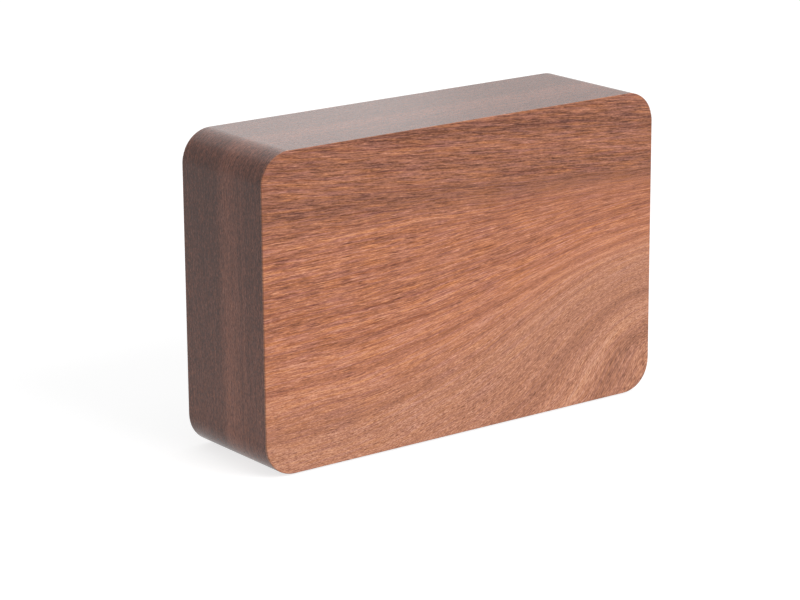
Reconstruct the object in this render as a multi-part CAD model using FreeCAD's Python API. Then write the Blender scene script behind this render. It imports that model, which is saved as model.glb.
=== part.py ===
import FreeCAD, Part

import math
import os

# Wooden desk clock: a walnut-veneered block whose lit display shines through the front veneer.
# Millimetres. X runs along the width, the front faces -Y, +Z is up.
# The origin is on the surface that the clock stands on, under the middle of the case.

V = FreeCAD.Vector
ALONG_X = V(1, 0, 0)
ALONG_Y = V(0, 1, 0)
ALONG_Z = V(0, 0, 1)

# Case: four mitred fibreboards and a front board, covered with walnut veneer
case_width = 150.0
case_height = 98.5
case_depth = 42.0
corner_radius = 10.0
board_wall = 6.4
front_board_thickness = 5.0
veneer_thickness = 0.6
veneer_seam = 0.2
edge_break = 0.25
least_radius = 0.4

# Rubber feet, sunk in round pockets
foot_diameter = 10.0
foot_thickness = 1.5
foot_recess = 1.0
foot_clearance = 0.15
foot_inset_x = 18.0
foot_inset_y = 9.0

# Glue blocks in the corners behind the mitres
block_side = 14.0
block_corner_gap = 0.5

# Screws: shank, length under the head, head diameter, head height
cover_screw_diameter = 2.9
cover_screw_length = 13.0
cover_screw_head = 5.4
cover_screw_head_height = 1.7
board_screw_diameter = 2.2
board_screw_length = 7.0
board_screw_head = 4.2
board_screw_head_height = 1.4
mask_screw_diameter = 2.3
mask_screw_length = 6.0
mask_screw_head = 4.2
mask_screw_head_height = 1.4
pixel_screw_diameter = 1.9
pixel_screw_length = 6.0
pixel_screw_head = 3.5
pixel_screw_head_height = 1.2
screw_clearance = 0.2
pilot_clearance = 0.05
pilot_end_gap = 0.5
slot_width_of_head_share = 0.16
slot_length_of_head_share = 0.58
slot_depth_of_head_share = 0.5

# Back cover, let into a rabbet in the boards
cover_thickness = 2.4
cover_recess = 1.0
cover_rabbet = 2.5
cover_clearance = 0.25
cover_screw_counterbore = 1.2
counterbore_clearance = 0.4

# Display: digits cut through a black mask, behind a thin diffuser
digit_pitch_of_case_share = 0.16
digit_width_of_pitch_share = 0.7
nose_height_of_cavity_share = 0.45
colon_gap_of_pitch_share = 0.5
segment_width = 3.0
segment_gap = 0.5
colon_dot = 3.0
colon_dot_offset = 6.0
alarm_dot = 2.6
alarm_dot_drop = 13.0
mask_side_margin = 5.0
mask_end_margin = 4.0
mask_depth_of_case_share = 0.19
mask_corner_radius = 0.8
mask_window_clearance = 0.3
flange_margin_x = 7.0
flange_margin_z = 4.0
flange_thickness = 2.0
mask_screw_inset = 3.5
diffuser_thickness = 1.0
diffuser_clearance = 0.1
pixel_board_thickness = 1.6
pixel_screw_inset = 2.5
led_length = 2.0
led_width = 1.25
led_height = 0.8

# Main board, carried on four bosses of the back cover
boss_diameter = 6.0
boss_inset = 4.0
main_board_thickness = 1.6
main_board_height_of_room_share = 2 / 3
main_board_top_gap = 4.0
main_board_side_gap = 2.0
row_end_inset = 13.0

# Buttons and the switches under them
button_names = ("mode", "set", "up", "down")
button_drop_of_board_share = 0.4
button_width_of_pitch_share = 0.64
button_height = 5.2
button_proud = 0.8
button_edge_round = 0.4
button_clearance = 0.15
button_flange = 1.0
button_flange_thickness = 1.0
button_flange_gap = 0.2
button_stem_diameter = 3.0
button_travel = 0.5
switch_side = 6.0
switch_height = 3.5
plunger_diameter = 3.4
plunger_proud = 1.5
plunger_depth = 1.2
plunger_clearance = 0.08
plunger_end_gap = 0.1

# Round low-voltage power socket
socket_side = 8.0
socket_cover_gap = 0.3
socket_nose_diameter = 6.0
socket_nose_inset = 0.2
socket_nose_clearance = 0.2
socket_bore = 3.6
socket_bore_depth = 9.0
socket_pin_diameter = 1.3
socket_pin_setback = 0.8
socket_tail_side = 0.9
socket_tail_clearance = 0.03

# Alarm sounder and its slots
sounder_diameter = 12.0
sounder_height = 8.6
sounder_cover_gap = 0.5
sounder_hole = 2.0
sounder_hole_depth = 1.5
sound_slot_count = 5
sound_slot_width = 1.2
sound_slot_length = 9.0
sound_slot_pitch = 2.6

# Microphone that wakes the display
mic_row_gap = 1.35
mic_diameter = 6.0
mic_height = 2.7
mic_hole = 1.4
mic_face_gap = 0.5
mic_boot_wall = 1.0
mic_boot_clearance = 0.05
mic_boot_overlap = 0.4
mic_lead_diameter = 0.6
mic_lead_spread = 2.0

# Electronic parts on the boards
chip_length = 10.4
chip_width = 7.4
chip_height = 2.2
chip_lift = 0.15
chip_lead_count = 8
chip_lead_pitch = 1.27
chip_lead_width = 0.42
chip_lead_thickness = 0.25
chip_lead_reach = 1.5
chip_inset = 31.0
chip_drop = 10.0
driver_inset = 22.0
crystal_diameter = 2.0
crystal_length = 6.0
crystal_inset = 15.0
crystal_drop = 9.0
crystal_board_gap = 0.05
capacitor_diameter = 6.3
capacitor_height = 7.0
capacitor_base = 6.6
capacitor_base_height = 1.0
capacitor_gap = 1.4
capacitor_count = 2
capacitor_inset = 24.0
capacitor_drop = 9.0
regulator_length = 6.5
regulator_width = 3.5
regulator_height = 1.6
regulator_tab = 1.5
regulator_tab_width = 3.0
regulator_tab_thickness = 0.4
regulator_drop = 8.0
header_length = 19.0
header_width = 5.0
header_height_of_gap_share = 0.33
main_header_rise = 7.5
pixel_header_drop = 13.5
ribbon_width = 15.2
ribbon_thickness = 0.9
ribbon_radius = 2.0
plug_length = 8.0
plug_width = 6.0
plug_height = 5.0
plug_lift = 2.0
plug_pin_share = 0.25

# Cells, their contacts and their bay in the back cover
cell_count = 3
cell_diameter = 10.5
cell_length = 44.5
cell_nub_diameter = 3.8
cell_nub_length = 0.8
cell_spacing = 0.8
cell_floor_gap = 0.2
cell_door_gap = 0.4
bay_side_gap = 0.2
bay_wall = 1.6
bay_floor = 1.5
bay_bottom_gap = 2.0
bay_rib_width = 1.2
bay_rib_height = 2.0
contact_thickness = 0.4
contact_side = 9.0
contact_tab_width = 3.0
contact_tab_reach = 1.5
contact_slot_clearance = 0.1
spring_length = 5.0
spring_wire = 0.7
spring_diameter = 6.0
spring_turns = 3.5
spring_step_share = 0.25
lead_diameter = 1.3
lead_arc_share = 0.45
lead_bow = 9.8

# Each point of a lead's route: its share of the bow out from the bay, then of the way along X, Y and Z
red_lead_route = ((0.61, 0, 0, 0), (0.66, 0.28, 0.22, 0.26), (0.36, 0.66, 0.74, 0.52), (0, 1, 1, 0.80))
black_lead_route = (
    (0.60, 0, 0, 0),
    (0.95, 0, 0.08, 0.17),
    (1, 0, 0.40, 0.40),
    (0.75, 0, 0.86, 0.62),
    (0, 0, 1.14, 0.775),
    (0, 0.17, 1.20, 0.82),
    (0, 0.36, 1.16, 0.80),
    (0, 0.56, 1.12, 0.83),
    (0, 0.73, 1.17, 0.80),
    (0, 0.87, 1.27, 0.785),
    (0, 1, 1, 0.80),
)

# Battery door: two hooks at the bottom, a thumb tab at the top
door_thickness = 1.6
door_seat_gap = 0.1
door_ledge = 1.2
door_clearance = 0.15
door_corner_radius = 1.5
hook_offset = 15.0
hook_width = 6.0
hook_reach = 1.2
hook_skin = 0.7
hook_skin_gap = 0.1
hook_clearance = 0.3
thumb_tab_width = 9.0
thumb_tab_reach = 2.0
thumb_tab_thickness = 0.8
thumb_notch_gap = 0.2
thumb_notch_side_gap = 1.5
thumb_notch_room = 2.5
rib_pitch = 3.0
rib_count = 5
rib_width = 0.8
rib_height = 0.3
rib_length = 14.0
rib_drop = 4.0

# How far a cutting tool runs past the face that it cuts, the shortest edge that is drawn, degrees
overrun = 1.0
least_edge = 0.001
quarter_turn = 90.0

# Planes and places that follow from the sizes
front_face = -case_depth / 2
rear_face = case_depth / 2
board_front = front_face + veneer_thickness
board_back = board_front + front_board_thickness
frame_rear = rear_face - veneer_thickness
cover_outer = rear_face - cover_recess
cover_inner = cover_outer - cover_thickness
case_bottom = foot_thickness - foot_recess
case_top = case_bottom + case_height
case_middle = (case_bottom + case_top) / 2
shell_wall = veneer_thickness + board_wall
cavity_half = case_width / 2 - shell_wall
cavity_bottom = case_bottom + shell_wall
cavity_top = case_top - shell_wall
rabbet_inset = shell_wall - cover_rabbet

digit_pitch = case_width * digit_pitch_of_case_share
digit_width = digit_pitch * digit_width_of_pitch_share
colon_gap = digit_pitch * colon_gap_of_pitch_share
nose_width = 2 * (digit_pitch + digit_width) + colon_gap + 2 * mask_side_margin
nose_height = (cavity_top - cavity_bottom) * nose_height_of_cavity_share
digit_height = nose_height - 2 * mask_end_margin
mask_front = board_front + diffuser_thickness
mask_back = mask_front + case_depth * mask_depth_of_case_share
pixel_board_back = mask_back + pixel_board_thickness

cell_pitch = cell_diameter + cell_spacing
bay_half = (cell_length + spring_length + 2 * contact_thickness) / 2
bay_low = cavity_bottom + bay_bottom_gap + bay_wall
bay_high = bay_low + cell_count * cell_pitch + 2 * bay_side_gap
door_inner = cover_outer - door_thickness
door_seat = door_inner - door_seat_gap
cell_axis = door_inner - cell_door_gap - cell_diameter / 2
bay_floor_top = cell_axis - cell_diameter / 2 - cell_floor_gap
recess_half = bay_half + door_ledge
recess_low = bay_low - door_ledge
recess_high = bay_high + door_ledge

main_back = cover_inner - sounder_cover_gap - sounder_height
main_front = main_back - main_board_thickness
main_half = cavity_half - block_side - main_board_side_gap
main_top = cavity_top - main_board_top_gap
room_over_bay = cavity_top - bay_high - bay_wall
main_board_height = room_over_bay * main_board_height_of_room_share
main_bottom = main_top - main_board_height
button_row = main_top - main_board_height * button_drop_of_board_share
socket_x = main_half - row_end_inset
sounder_x = -socket_x
button_pitch = (socket_x - sounder_x) / (len(button_names) + 1)
button_width = button_pitch * button_width_of_pitch_share
button_flange_half = button_height / 2 + button_flange
mic_boot_radius = mic_diameter / 2 + mic_boot_clearance + mic_boot_wall
mic_z = button_row - button_flange_half - mic_row_gap - mic_boot_radius
header_height = (main_front - pixel_board_back) * header_height_of_gap_share
main_header_z = main_bottom + main_header_rise
pixel_header_z = case_middle - pixel_header_drop
socket_mouth = cover_outer - socket_nose_inset
socket_floor = socket_mouth - socket_bore_depth
mic_front = cover_inner - mic_face_gap
switch_top = main_back + switch_height
plunger_top = switch_top + plunger_proud


def box(x0, x1, y0, y1, z0, z1):
    """A block between two corners."""
    return Part.makeBox(x1 - x0, y1 - y0, z1 - z0, V(x0, y0, z0))


def rod(diameter, y0, y1, x, z):
    """A round bar along Y."""
    return Part.makeCylinder(diameter / 2, y1 - y0, V(x, y0, z), ALONG_Y)


def inner_radius(inset):
    """The corner radius of an outline that lies inside the case's by this much."""
    return max(corner_radius - inset, least_radius)


def quarter_arc(x, y, z, radius, start):
    """A quarter circle in a plane across Y, from an angle in degrees."""
    points = []
    for share in (0, 0.5, 1):
        angle = math.radians(start + quarter_turn * share)
        points.append(V(x + radius * math.cos(angle), y, z + radius * math.sin(angle)))
    return Part.Arc(*points).toShape()


def rounded_outline(width, height, radius, y, x, z):
    """A closed rounded rectangle in a plane across Y."""
    half_w = width / 2 - radius
    half_h = height / 2 - radius
    arcs = []
    for n, (x_sign, z_sign) in enumerate(((1, 1), (-1, 1), (-1, -1), (1, -1))):
        arcs.append(quarter_arc(x + x_sign * half_w, y, z + z_sign * half_h, radius, n * quarter_turn))
    edges = []
    for arc, following in zip(arcs, arcs[1:] + arcs[:1]):
        edges.append(arc)
        end = arc.Vertexes[1].Point
        begin = following.Vertexes[0].Point
        if end.distanceToPoint(begin) > least_edge:
            edges.append(Part.LineSegment(end, begin).toShape())
    return Part.Wire(edges)


def plate(width, height, radius, y0, y1, x=0.0, z=0.0):
    """A rounded plate that faces along Y."""
    return Part.Face(rounded_outline(width, height, radius, y0, x, z)).extrude(V(0, y1 - y0, 0))


def prism(outline, y0, y1):
    """A straight-sided block along Y with the given corners in X and Z."""
    points = [V(x, y0, z) for x, z in outline]
    return Part.Face(Part.makePolygon(points + points[:1])).extrude(V(0, y1 - y0, 0))


def case_plate(inset, y0, y1):
    """A plate with the case's outline, taken in by the inset all round."""
    width = case_width - 2 * inset
    return plate(width, case_height - 2 * inset, inner_radius(inset), y0, y1, 0, case_middle)


def join(shapes):
    """Several solids made into one piece."""
    return shapes[0].multiFuse(shapes[1:]).removeSplitter()


def screw(x, z, seat, out, diameter, length, head, head_height):
    """A pan-head screw along Y with a cross slot, seated at a plane, its head towards out (+1 or -1)."""
    shank = rod(diameter, *sorted((seat, seat - out * length)), x, z)
    cap = rod(head, *sorted((seat, seat + out * head_height)), x, z)
    piece = join([cap, shank])
    top = seat + out * head_height
    y0, y1 = sorted((top - out * head_height * slot_depth_of_head_share, top + out * overrun))
    long_half = head * slot_length_of_head_share / 2
    short_half = head * slot_width_of_head_share / 2
    for half_x, half_z in ((long_half, short_half), (short_half, long_half)):
        piece = piece.cut(box(x - half_x, x + half_x, y0, y1, z - half_z, z + half_z))
    return piece


def corners(half_x, low, high):
    """The four places at the corners of a rectangle, as seen from the front."""
    return {
        "top_left": (-half_x, high),
        "top_right": (half_x, high),
        "bottom_left": (-half_x, low),
        "bottom_right": (half_x, low),
    }


def foot_places():
    x = case_width / 2 - foot_inset_x
    y = case_depth / 2 - foot_inset_y
    return {"front_left": (-x, -y), "front_right": (x, -y), "rear_left": (-x, y), "rear_right": (x, y)}


def foot_pockets():
    """The round pockets under the case that the feet are stuck in."""
    diameter = foot_diameter + 2 * foot_clearance
    pockets = []
    for x, y in foot_places().values():
        start = V(x, y, case_bottom - overrun)
        pockets.append(Part.makeCylinder(diameter / 2, foot_recess + overrun, start, ALONG_Z))
    return Part.makeCompound(pockets)


def cover_screw_places():
    half = cavity_half - block_side / 2
    return corners(half, cavity_bottom + block_side / 2, cavity_top - block_side / 2)


def case_boards():
    """The top, bottom and side boards, mitred at the corners and rabbeted at the rear for the cover."""
    ring = case_plate(veneer_thickness, board_back, frame_rear)
    ring = ring.cut(case_plate(shell_wall, board_back - overrun, frame_rear + overrun))
    ring = ring.cut(case_plate(rabbet_inset, cover_inner, frame_rear + overrun))
    ring = ring.cut(foot_pockets())
    half = case_width / 2
    inner = half - case_height / 2
    left = (-inner, case_middle)
    right = (inner, case_middle)
    outlines = {
        "top_board": ((-half, case_top), (half, case_top), right, left),
        "bottom_board": ((-half, case_bottom), (half, case_bottom), right, left),
        "left_board": ((-half, case_top), (-half, case_bottom), left),
        "right_board": ((half, case_top), (half, case_bottom), right),
    }
    return {name: ring.common(prism(outline, board_back, frame_rear)) for name, outline in outlines.items()}


def mask_screw_places():
    half_x = nose_width / 2 + mask_screw_inset
    half_z = nose_height / 2 + flange_margin_z - mask_screw_inset
    return corners(half_x, case_middle - half_z, case_middle + half_z)


def front_board():
    """The board behind the front veneer, with a window for the display."""
    board = case_plate(veneer_thickness, board_front, board_back)
    gap = 2 * mask_window_clearance
    radius = mask_corner_radius + mask_window_clearance
    low = board_front - overrun
    high = board_back + overrun
    board = board.cut(plate(nose_width + gap, nose_height + gap, radius, low, high, 0, case_middle))
    pilot = mask_screw_diameter + 2 * pilot_clearance
    depth = mask_screw_length - flange_thickness + pilot_end_gap
    for x, z in mask_screw_places().values():
        board = board.cut(rod(pilot, board_back - depth, board_back, x, z))
    return board.cut(foot_pockets())


def soften_rim(sheet, y):
    """Breaks the sharp outer edge round one face of a veneer sheet."""
    for face in sheet.Faces:
        bound = face.BoundBox
        if bound.YMax - bound.YMin < least_edge and abs(bound.YMax - y) < least_edge:
            return sheet.makeFillet(edge_break, face.OuterWire.Edges)


def front_veneer():
    return soften_rim(case_plate(0, front_face, board_front), front_face)


def rear_veneer():
    sheet = case_plate(0, frame_rear, rear_face)
    sheet = sheet.cut(case_plate(rabbet_inset, frame_rear - overrun, rear_face + overrun))
    return soften_rim(sheet, rear_face)


def side_veneer():
    """One strip bent round the case, its ends meeting at a seam under the bottom."""
    strip = case_plate(0, board_front, frame_rear)
    strip = strip.cut(case_plate(veneer_thickness, board_front - overrun, frame_rear + overrun))
    half = veneer_seam / 2
    top = case_bottom + veneer_thickness
    seam = box(-half, half, board_front - overrun, frame_rear + overrun, case_bottom - overrun, top)
    return strip.cut(seam).cut(foot_pockets())


def corner_block(x_sign, z_sign):
    """A square glue block with one corner cut off, so that it clears the boards' rounded corner."""
    wall_x = x_sign * cavity_half
    wall_z = cavity_top if z_sign > 0 else cavity_bottom
    bevel = inner_radius(shell_wall) + block_corner_gap
    corner_points = [
        (wall_x - x_sign * block_side, wall_z - z_sign * block_side),
        (wall_x, wall_z - z_sign * block_side),
        (wall_x, wall_z - z_sign * bevel),
        (wall_x - x_sign * bevel, wall_z),
        (wall_x - x_sign * block_side, wall_z),
    ]
    block = prism(corner_points, board_back, cover_inner)
    x = wall_x - x_sign * block_side / 2
    z = wall_z - z_sign * block_side / 2
    seat = cover_outer - cover_screw_counterbore
    deep = seat - cover_screw_length - pilot_end_gap
    return block.cut(rod(cover_screw_diameter + 2 * pilot_clearance, deep, cover_inner + overrun, x, z))


def foot(x, y):
    return Part.makeCylinder(foot_diameter / 2, foot_thickness, V(x, y, 0), ALONG_Z)


def segment_bars():
    """Centre, half length and direction of the seven bars of a digit, about the digit's middle."""
    across = (digit_width - segment_width) / 2
    up = (digit_height - segment_width) / 2
    half_flat = across - segment_gap
    half_tall = up / 2 - segment_gap
    bars = [(0, z, half_flat, True) for z in (up, 0, -up)]
    for x in (-across, across):
        for z in (-up / 2, up / 2):
            bars.append((x, z, half_tall, False))
    return bars


def digit_centres():
    inner = (colon_gap + digit_width) / 2
    return [-inner - digit_pitch, -inner, inner, inner + digit_pitch]


def light_places():
    """Where each lamp of the display sits: one to a bar, one to a dot."""
    places = [(x + dx, case_middle + dz) for x in digit_centres() for dx, dz, half, flat in segment_bars()]
    places += [(0, case_middle + z) for z in (colon_dot_offset, -colon_dot_offset, -alarm_dot_drop)]
    return places


def bar_cutter(x, z, half, flat):
    """A bar with pointed ends, cut right through the mask."""
    side = segment_width / 2
    upper = [(-half, 0), (-half + side, side), (half - side, side), (half, 0)]
    along = upper + [(half - side, -side), (-half + side, -side)]
    outline = [(x + a, z + b) if flat else (x + b, z + a) for a, b in along]
    return prism(outline, mask_front - overrun, mask_back + overrun)


def pixel_screw_places():
    half_x = nose_width / 2 - pixel_screw_inset
    half_z = nose_height / 2 - pixel_screw_inset
    return corners(half_x, case_middle - half_z, case_middle + half_z)


def digit_mask():
    """The black block that keeps the bars' light apart, its flange screwed to the front board."""
    nose = plate(nose_width, nose_height, mask_corner_radius, mask_front, mask_back, 0, case_middle)
    wide = nose_width + 2 * flange_margin_x
    tall = nose_height + 2 * flange_margin_z
    flange_back = board_back + flange_thickness
    flange = plate(wide, tall, mask_corner_radius, board_back, flange_back, 0, case_middle)
    mask = join([nose, flange])
    cutters = []
    for x in digit_centres():
        for dx, dz, half, flat in segment_bars():
            cutters.append(bar_cutter(x + dx, case_middle + dz, half, flat))
    low = mask_front - overrun
    high = mask_back + overrun
    for z in (colon_dot_offset, -colon_dot_offset):
        cutters.append(rod(colon_dot, low, high, 0, case_middle + z))
    cutters.append(rod(alarm_dot, low, high, 0, case_middle - alarm_dot_drop))
    for x, z in mask_screw_places().values():
        cutters.append(rod(mask_screw_diameter + screw_clearance, low, high, x, z))
    depth = pixel_screw_length - pixel_board_thickness + pilot_end_gap
    for x, z in pixel_screw_places().values():
        cutters.append(rod(pixel_screw_diameter + 2 * pilot_clearance, mask_back - depth, high, x, z))
    return mask.cut(Part.makeCompound(cutters))


def diffuser_plate():
    gap = 2 * (mask_window_clearance - diffuser_clearance)
    radius = mask_corner_radius + mask_window_clearance - diffuser_clearance
    return plate(nose_width + gap, nose_height + gap, radius, board_front, mask_front, 0, case_middle)


def mask_screws():
    seat = board_back + flange_thickness
    size = (mask_screw_diameter, mask_screw_length, mask_screw_head, mask_screw_head_height)
    return [screw(x, z, seat, 1, *size) for x, z in mask_screw_places().values()]


def display_board():
    board = plate(nose_width, nose_height, mask_corner_radius, mask_back, pixel_board_back, 0, case_middle)
    hole = pixel_screw_diameter + screw_clearance
    for x, z in pixel_screw_places().values():
        board = board.cut(rod(hole, mask_back - overrun, pixel_board_back + overrun, x, z))
    return board


def display_leds():
    lamps = []
    for x, z in light_places():
        dx = led_length / 2
        dz = led_width / 2
        lamps.append(box(x - dx, x + dx, mask_back - led_height, mask_back, z - dz, z + dz))
    return lamps


def display_board_screws():
    size = (pixel_screw_diameter, pixel_screw_length, pixel_screw_head, pixel_screw_head_height)
    return [screw(x, z, pixel_board_back, 1, *size) for x, z in pixel_screw_places().values()]


def chip(x, z, face, out):
    """A chip with two rows of bent leads, standing off a board's face towards out (+1 or -1)."""
    y0, y1 = sorted((face + out * chip_lift, face + out * (chip_lift + chip_height)))
    half_x = chip_length / 2
    half_z = chip_width / 2
    solids = [box(x - half_x, x + half_x, y0, y1, z - half_z, z + half_z)]
    mid = face + out * (chip_lift + chip_height / 2)
    reach = half_z + chip_lead_reach
    for n in range(chip_lead_count):
        lead_x = x + (n - (chip_lead_count - 1) / 2) * chip_lead_pitch
        x0 = lead_x - chip_lead_width / 2
        x1 = lead_x + chip_lead_width / 2
        for side in (-1, 1):
            knee = half_z + chip_lead_reach / 2
            arm_y = sorted((mid, mid + out * chip_lead_thickness))
            arm_z = sorted((z + side * half_z, z + side * knee))
            leg_y = sorted((face, mid + out * chip_lead_thickness))
            leg_z = sorted((z + side * knee, z + side * (knee - chip_lead_thickness)))
            toe_y = sorted((face, face + out * chip_lead_thickness))
            toe_z = sorted((z + side * (knee - chip_lead_thickness), z + side * reach))
            for part_y, part_z in ((arm_y, arm_z), (leg_y, leg_z), (toe_y, toe_z)):
                solids.append(box(x0, x1, *part_y, *part_z))
    return join(solids)


def header(z, face, out):
    """A ribbon connector shell on a board's face."""
    y0, y1 = sorted((face, face + out * header_height))
    return box(-header_length / 2, header_length / 2, y0, y1, z - header_width / 2, z + header_width / 2)


def bend(y, z, radius, first, last):
    """An arc in the plane across X, between two angles in quarter turns."""
    spots = []
    for quarters in (first, (first + last) / 2, last):
        turn = math.radians(quarters * quarter_turn)
        spots.append(V(0, y + radius * math.cos(turn), z + radius * math.sin(turn)))
    return Part.Arc(*spots).toShape()


def display_ribbon():
    """A flat cable: out of the display's connector, up, and into the main board's connector."""
    start = pixel_board_back + header_height
    end = main_front - header_height
    radius = min(ribbon_radius, (end - start) / 2)
    half = ribbon_thickness / 2
    low_y = (start + end) / 2 - radius
    high_y = (start + end) / 2 + radius
    low_z = pixel_header_z + radius
    high_z = main_header_z - radius
    bends = [
        bend(low_y, low_z, radius - half, 3, 4),
        bend(high_y, high_z, radius + half, 2, 1),
        bend(high_y, high_z, radius - half, 1, 2),
        bend(low_y, low_z, radius + half, 4, 3),
    ]
    first, second, third, fourth = [[vertex.Point for vertex in arc.Vertexes] for arc in bends]
    stops = [
        (V(0, start, pixel_header_z + half), first[0]),
        (first[1], second[0]),
        (second[1], V(0, end, main_header_z + half)),
        (V(0, end, main_header_z + half), V(0, end, main_header_z - half)),
        (V(0, end, main_header_z - half), third[0]),
        (third[1], fourth[0]),
        (fourth[1], V(0, start, pixel_header_z - half)),
        (V(0, start, pixel_header_z - half), V(0, start, pixel_header_z + half)),
    ]
    lines = [Part.LineSegment(a, b).toShape() for a, b in stops if a.distanceToPoint(b) > least_edge]
    outline = Part.Wire(Part.__sortEdges__(lines + bends))
    strip = Part.Face(outline).extrude(V(ribbon_width, 0, 0))
    strip.translate(V(-ribbon_width / 2, 0, 0))
    return strip


def boss_places():
    return corners(main_half - boss_inset, main_bottom + boss_inset, main_top - boss_inset)


def main_board():
    board = box(-main_half, main_half, main_front, main_back, main_bottom, main_top)
    hole = board_screw_diameter + screw_clearance
    for x, z in boss_places().values():
        board = board.cut(rod(hole, main_front - overrun, main_back + overrun, x, z))
    return board


def main_board_screws():
    size = (board_screw_diameter, board_screw_length, board_screw_head, board_screw_head_height)
    return [screw(x, z, main_front, -1, *size) for x, z in boss_places().values()]


def clock_crystal():
    y = main_front - crystal_board_gap - crystal_diameter / 2
    start = V(crystal_inset - main_half - crystal_length / 2, y, main_top - crystal_drop)
    return Part.makeCylinder(crystal_diameter / 2, crystal_length, start, ALONG_X)


def smoothing_capacitors():
    cans = []
    for n in range(capacitor_count):
        x = main_half - capacitor_inset - n * (capacitor_base + capacitor_gap)
        z = main_top - capacitor_drop
        half = capacitor_base / 2
        base = box(x - half, x + half, main_front - capacitor_base_height, main_front, z - half, z + half)
        can = rod(capacitor_diameter, main_front - capacitor_height, main_front - capacitor_base_height, x, z)
        cans.append(join([base, can]))
    return cans


def voltage_regulator():
    low = main_top - regulator_drop
    high = low + regulator_width
    half = regulator_length / 2
    body = box(socket_x - half, socket_x + half, main_front - regulator_height, main_front, low, high)
    half = regulator_tab_width / 2
    front = main_front - regulator_tab_thickness
    tab = box(socket_x - half, socket_x + half, front, main_front, high, high + regulator_tab)
    return join([body, tab])


def alarm_sounder():
    can = rod(sounder_diameter, main_back, main_back + sounder_height, sounder_x, button_row)
    top = main_back + sounder_height
    return can.cut(rod(sounder_hole, top - sounder_hole_depth, top + overrun, sounder_x, button_row))


def microphone():
    """A round can on two wires that stand in the main board."""
    back = mic_front - mic_height
    can = rod(mic_diameter, back, mic_front, 0, mic_z)
    half = mic_lead_spread / 2
    return join([can] + [rod(mic_lead_diameter, main_back, back, x, mic_z) for x in (-half, half)])


def microphone_boot():
    back = mic_front - mic_height - mic_boot_overlap
    bore = mic_diameter + 2 * mic_boot_clearance
    boot = rod(2 * mic_boot_radius, back, cover_inner, 0, mic_z)
    return boot.cut(rod(bore, back - overrun, cover_inner + overrun, 0, mic_z))


def button_places():
    middle = (len(button_names) - 1) / 2
    return {name: (n - middle) * button_pitch for n, name in enumerate(button_names)}


def switch_body(x):
    half = switch_side / 2
    body = box(x - half, x + half, main_back, switch_top, button_row - half, button_row + half)
    depth = plunger_depth + button_travel + plunger_end_gap
    bore = plunger_diameter + 2 * plunger_clearance
    return body.cut(rod(bore, switch_top - depth, switch_top + overrun, x, button_row))


def switch_plunger(x):
    return rod(plunger_diameter, switch_top - plunger_depth, plunger_top, x, button_row)


def button(x):
    """An oval cap with a flange behind the cover and a stem down to its switch."""
    top = cover_outer + button_proud
    flange_top = cover_inner - button_flange_gap
    flange_low = flange_top - button_flange_thickness
    cap = plate(button_width, button_height, button_height / 2, flange_top, top, x, button_row)
    edges = [edge for edge in cap.Edges if edge.BoundBox.YMin > top - button_edge_round / 2]
    cap = cap.makeFillet(button_edge_round, edges)
    wide = button_width + 2 * button_flange
    flange = plate(wide, 2 * button_flange_half, button_flange_half, flange_low, flange_top, x, button_row)
    stem = rod(button_stem_diameter, plunger_top, flange_low, x, button_row)
    return join([cap, flange, stem])


def power_socket():
    half = socket_side / 2
    shoulder = cover_inner - socket_cover_gap
    low = button_row - half
    body = box(socket_x - half, socket_x + half, main_back, shoulder, low, low + socket_side)
    nose = rod(socket_nose_diameter, shoulder, socket_mouth, socket_x, button_row)
    housing = join([body, nose])
    housing = housing.cut(rod(socket_bore, socket_floor, socket_mouth + overrun, socket_x, button_row))
    return housing.cut(socket_tail(socket_tail_clearance, main_back - overrun, socket_floor + overrun))


def socket_tail(gap, y0, y1):
    """The square tail of the socket's pin, or with a gap, the hole for it."""
    half = socket_tail_side / 2 + gap
    return box(socket_x - half, socket_x + half, y0, y1, button_row - half, button_row + half)


def power_socket_pin():
    """The round centre pin, on a square tail that goes through the socket's floor to the board."""
    pin = rod(socket_pin_diameter, socket_floor, socket_mouth - socket_pin_setback, socket_x, button_row)
    return join([pin, socket_tail(0, main_back, socket_floor)])


def battery_plug():
    z = main_bottom + plug_lift
    half = plug_length / 2
    return box(socket_x - half, socket_x + half, main_front - plug_height, main_front, z, z + plug_width)


def cell_height(n):
    """Height of the axis of the nth cell, counted from the bottom."""
    return bay_low + bay_side_gap + (n + 0.5) * cell_pitch


def plus_side(n):
    """+1 where the nth cell has its plus end to the right, seen from the front. The cells alternate."""
    return 1 if n % 2 == 0 else -1


def battery_cell(n):
    side = plus_side(n)
    tip = side * (bay_half - contact_thickness)
    shoulder = tip - side * cell_nub_length
    tail = tip - side * cell_length
    z = cell_height(n)
    start = V(min(shoulder, tail), cell_axis, z)
    body = Part.makeCylinder(cell_diameter / 2, abs(shoulder - tail), start, ALONG_X)
    start = V(min(tip, shoulder), cell_axis, z)
    nub = Part.makeCylinder(cell_nub_diameter / 2, cell_nub_length, start, ALONG_X)
    return join([body, nub])


def helix_point(radius, pitch, turn):
    """A point of a helix about Z and the direction of the helix there."""
    angle = 2 * math.pi * turn
    point = V(radius * math.cos(angle), radius * math.sin(angle), pitch * turn)
    along = V(-radius * math.sin(angle), radius * math.cos(angle), pitch / (2 * math.pi))
    return point, along.normalize()


def arc_within(start, corner, end):
    """The arc that touches two lines of equal length which meet at a corner."""
    middle = (start + end) / 2
    half_chord = (end - start).Length / 2
    half_turn = math.acos(half_chord / (corner - start).Length)
    rise = half_chord * math.tan(half_turn / 2)
    towards = (corner - middle).normalize()
    return Part.Arc(start, middle + towards * rise, end).toShape()


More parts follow.
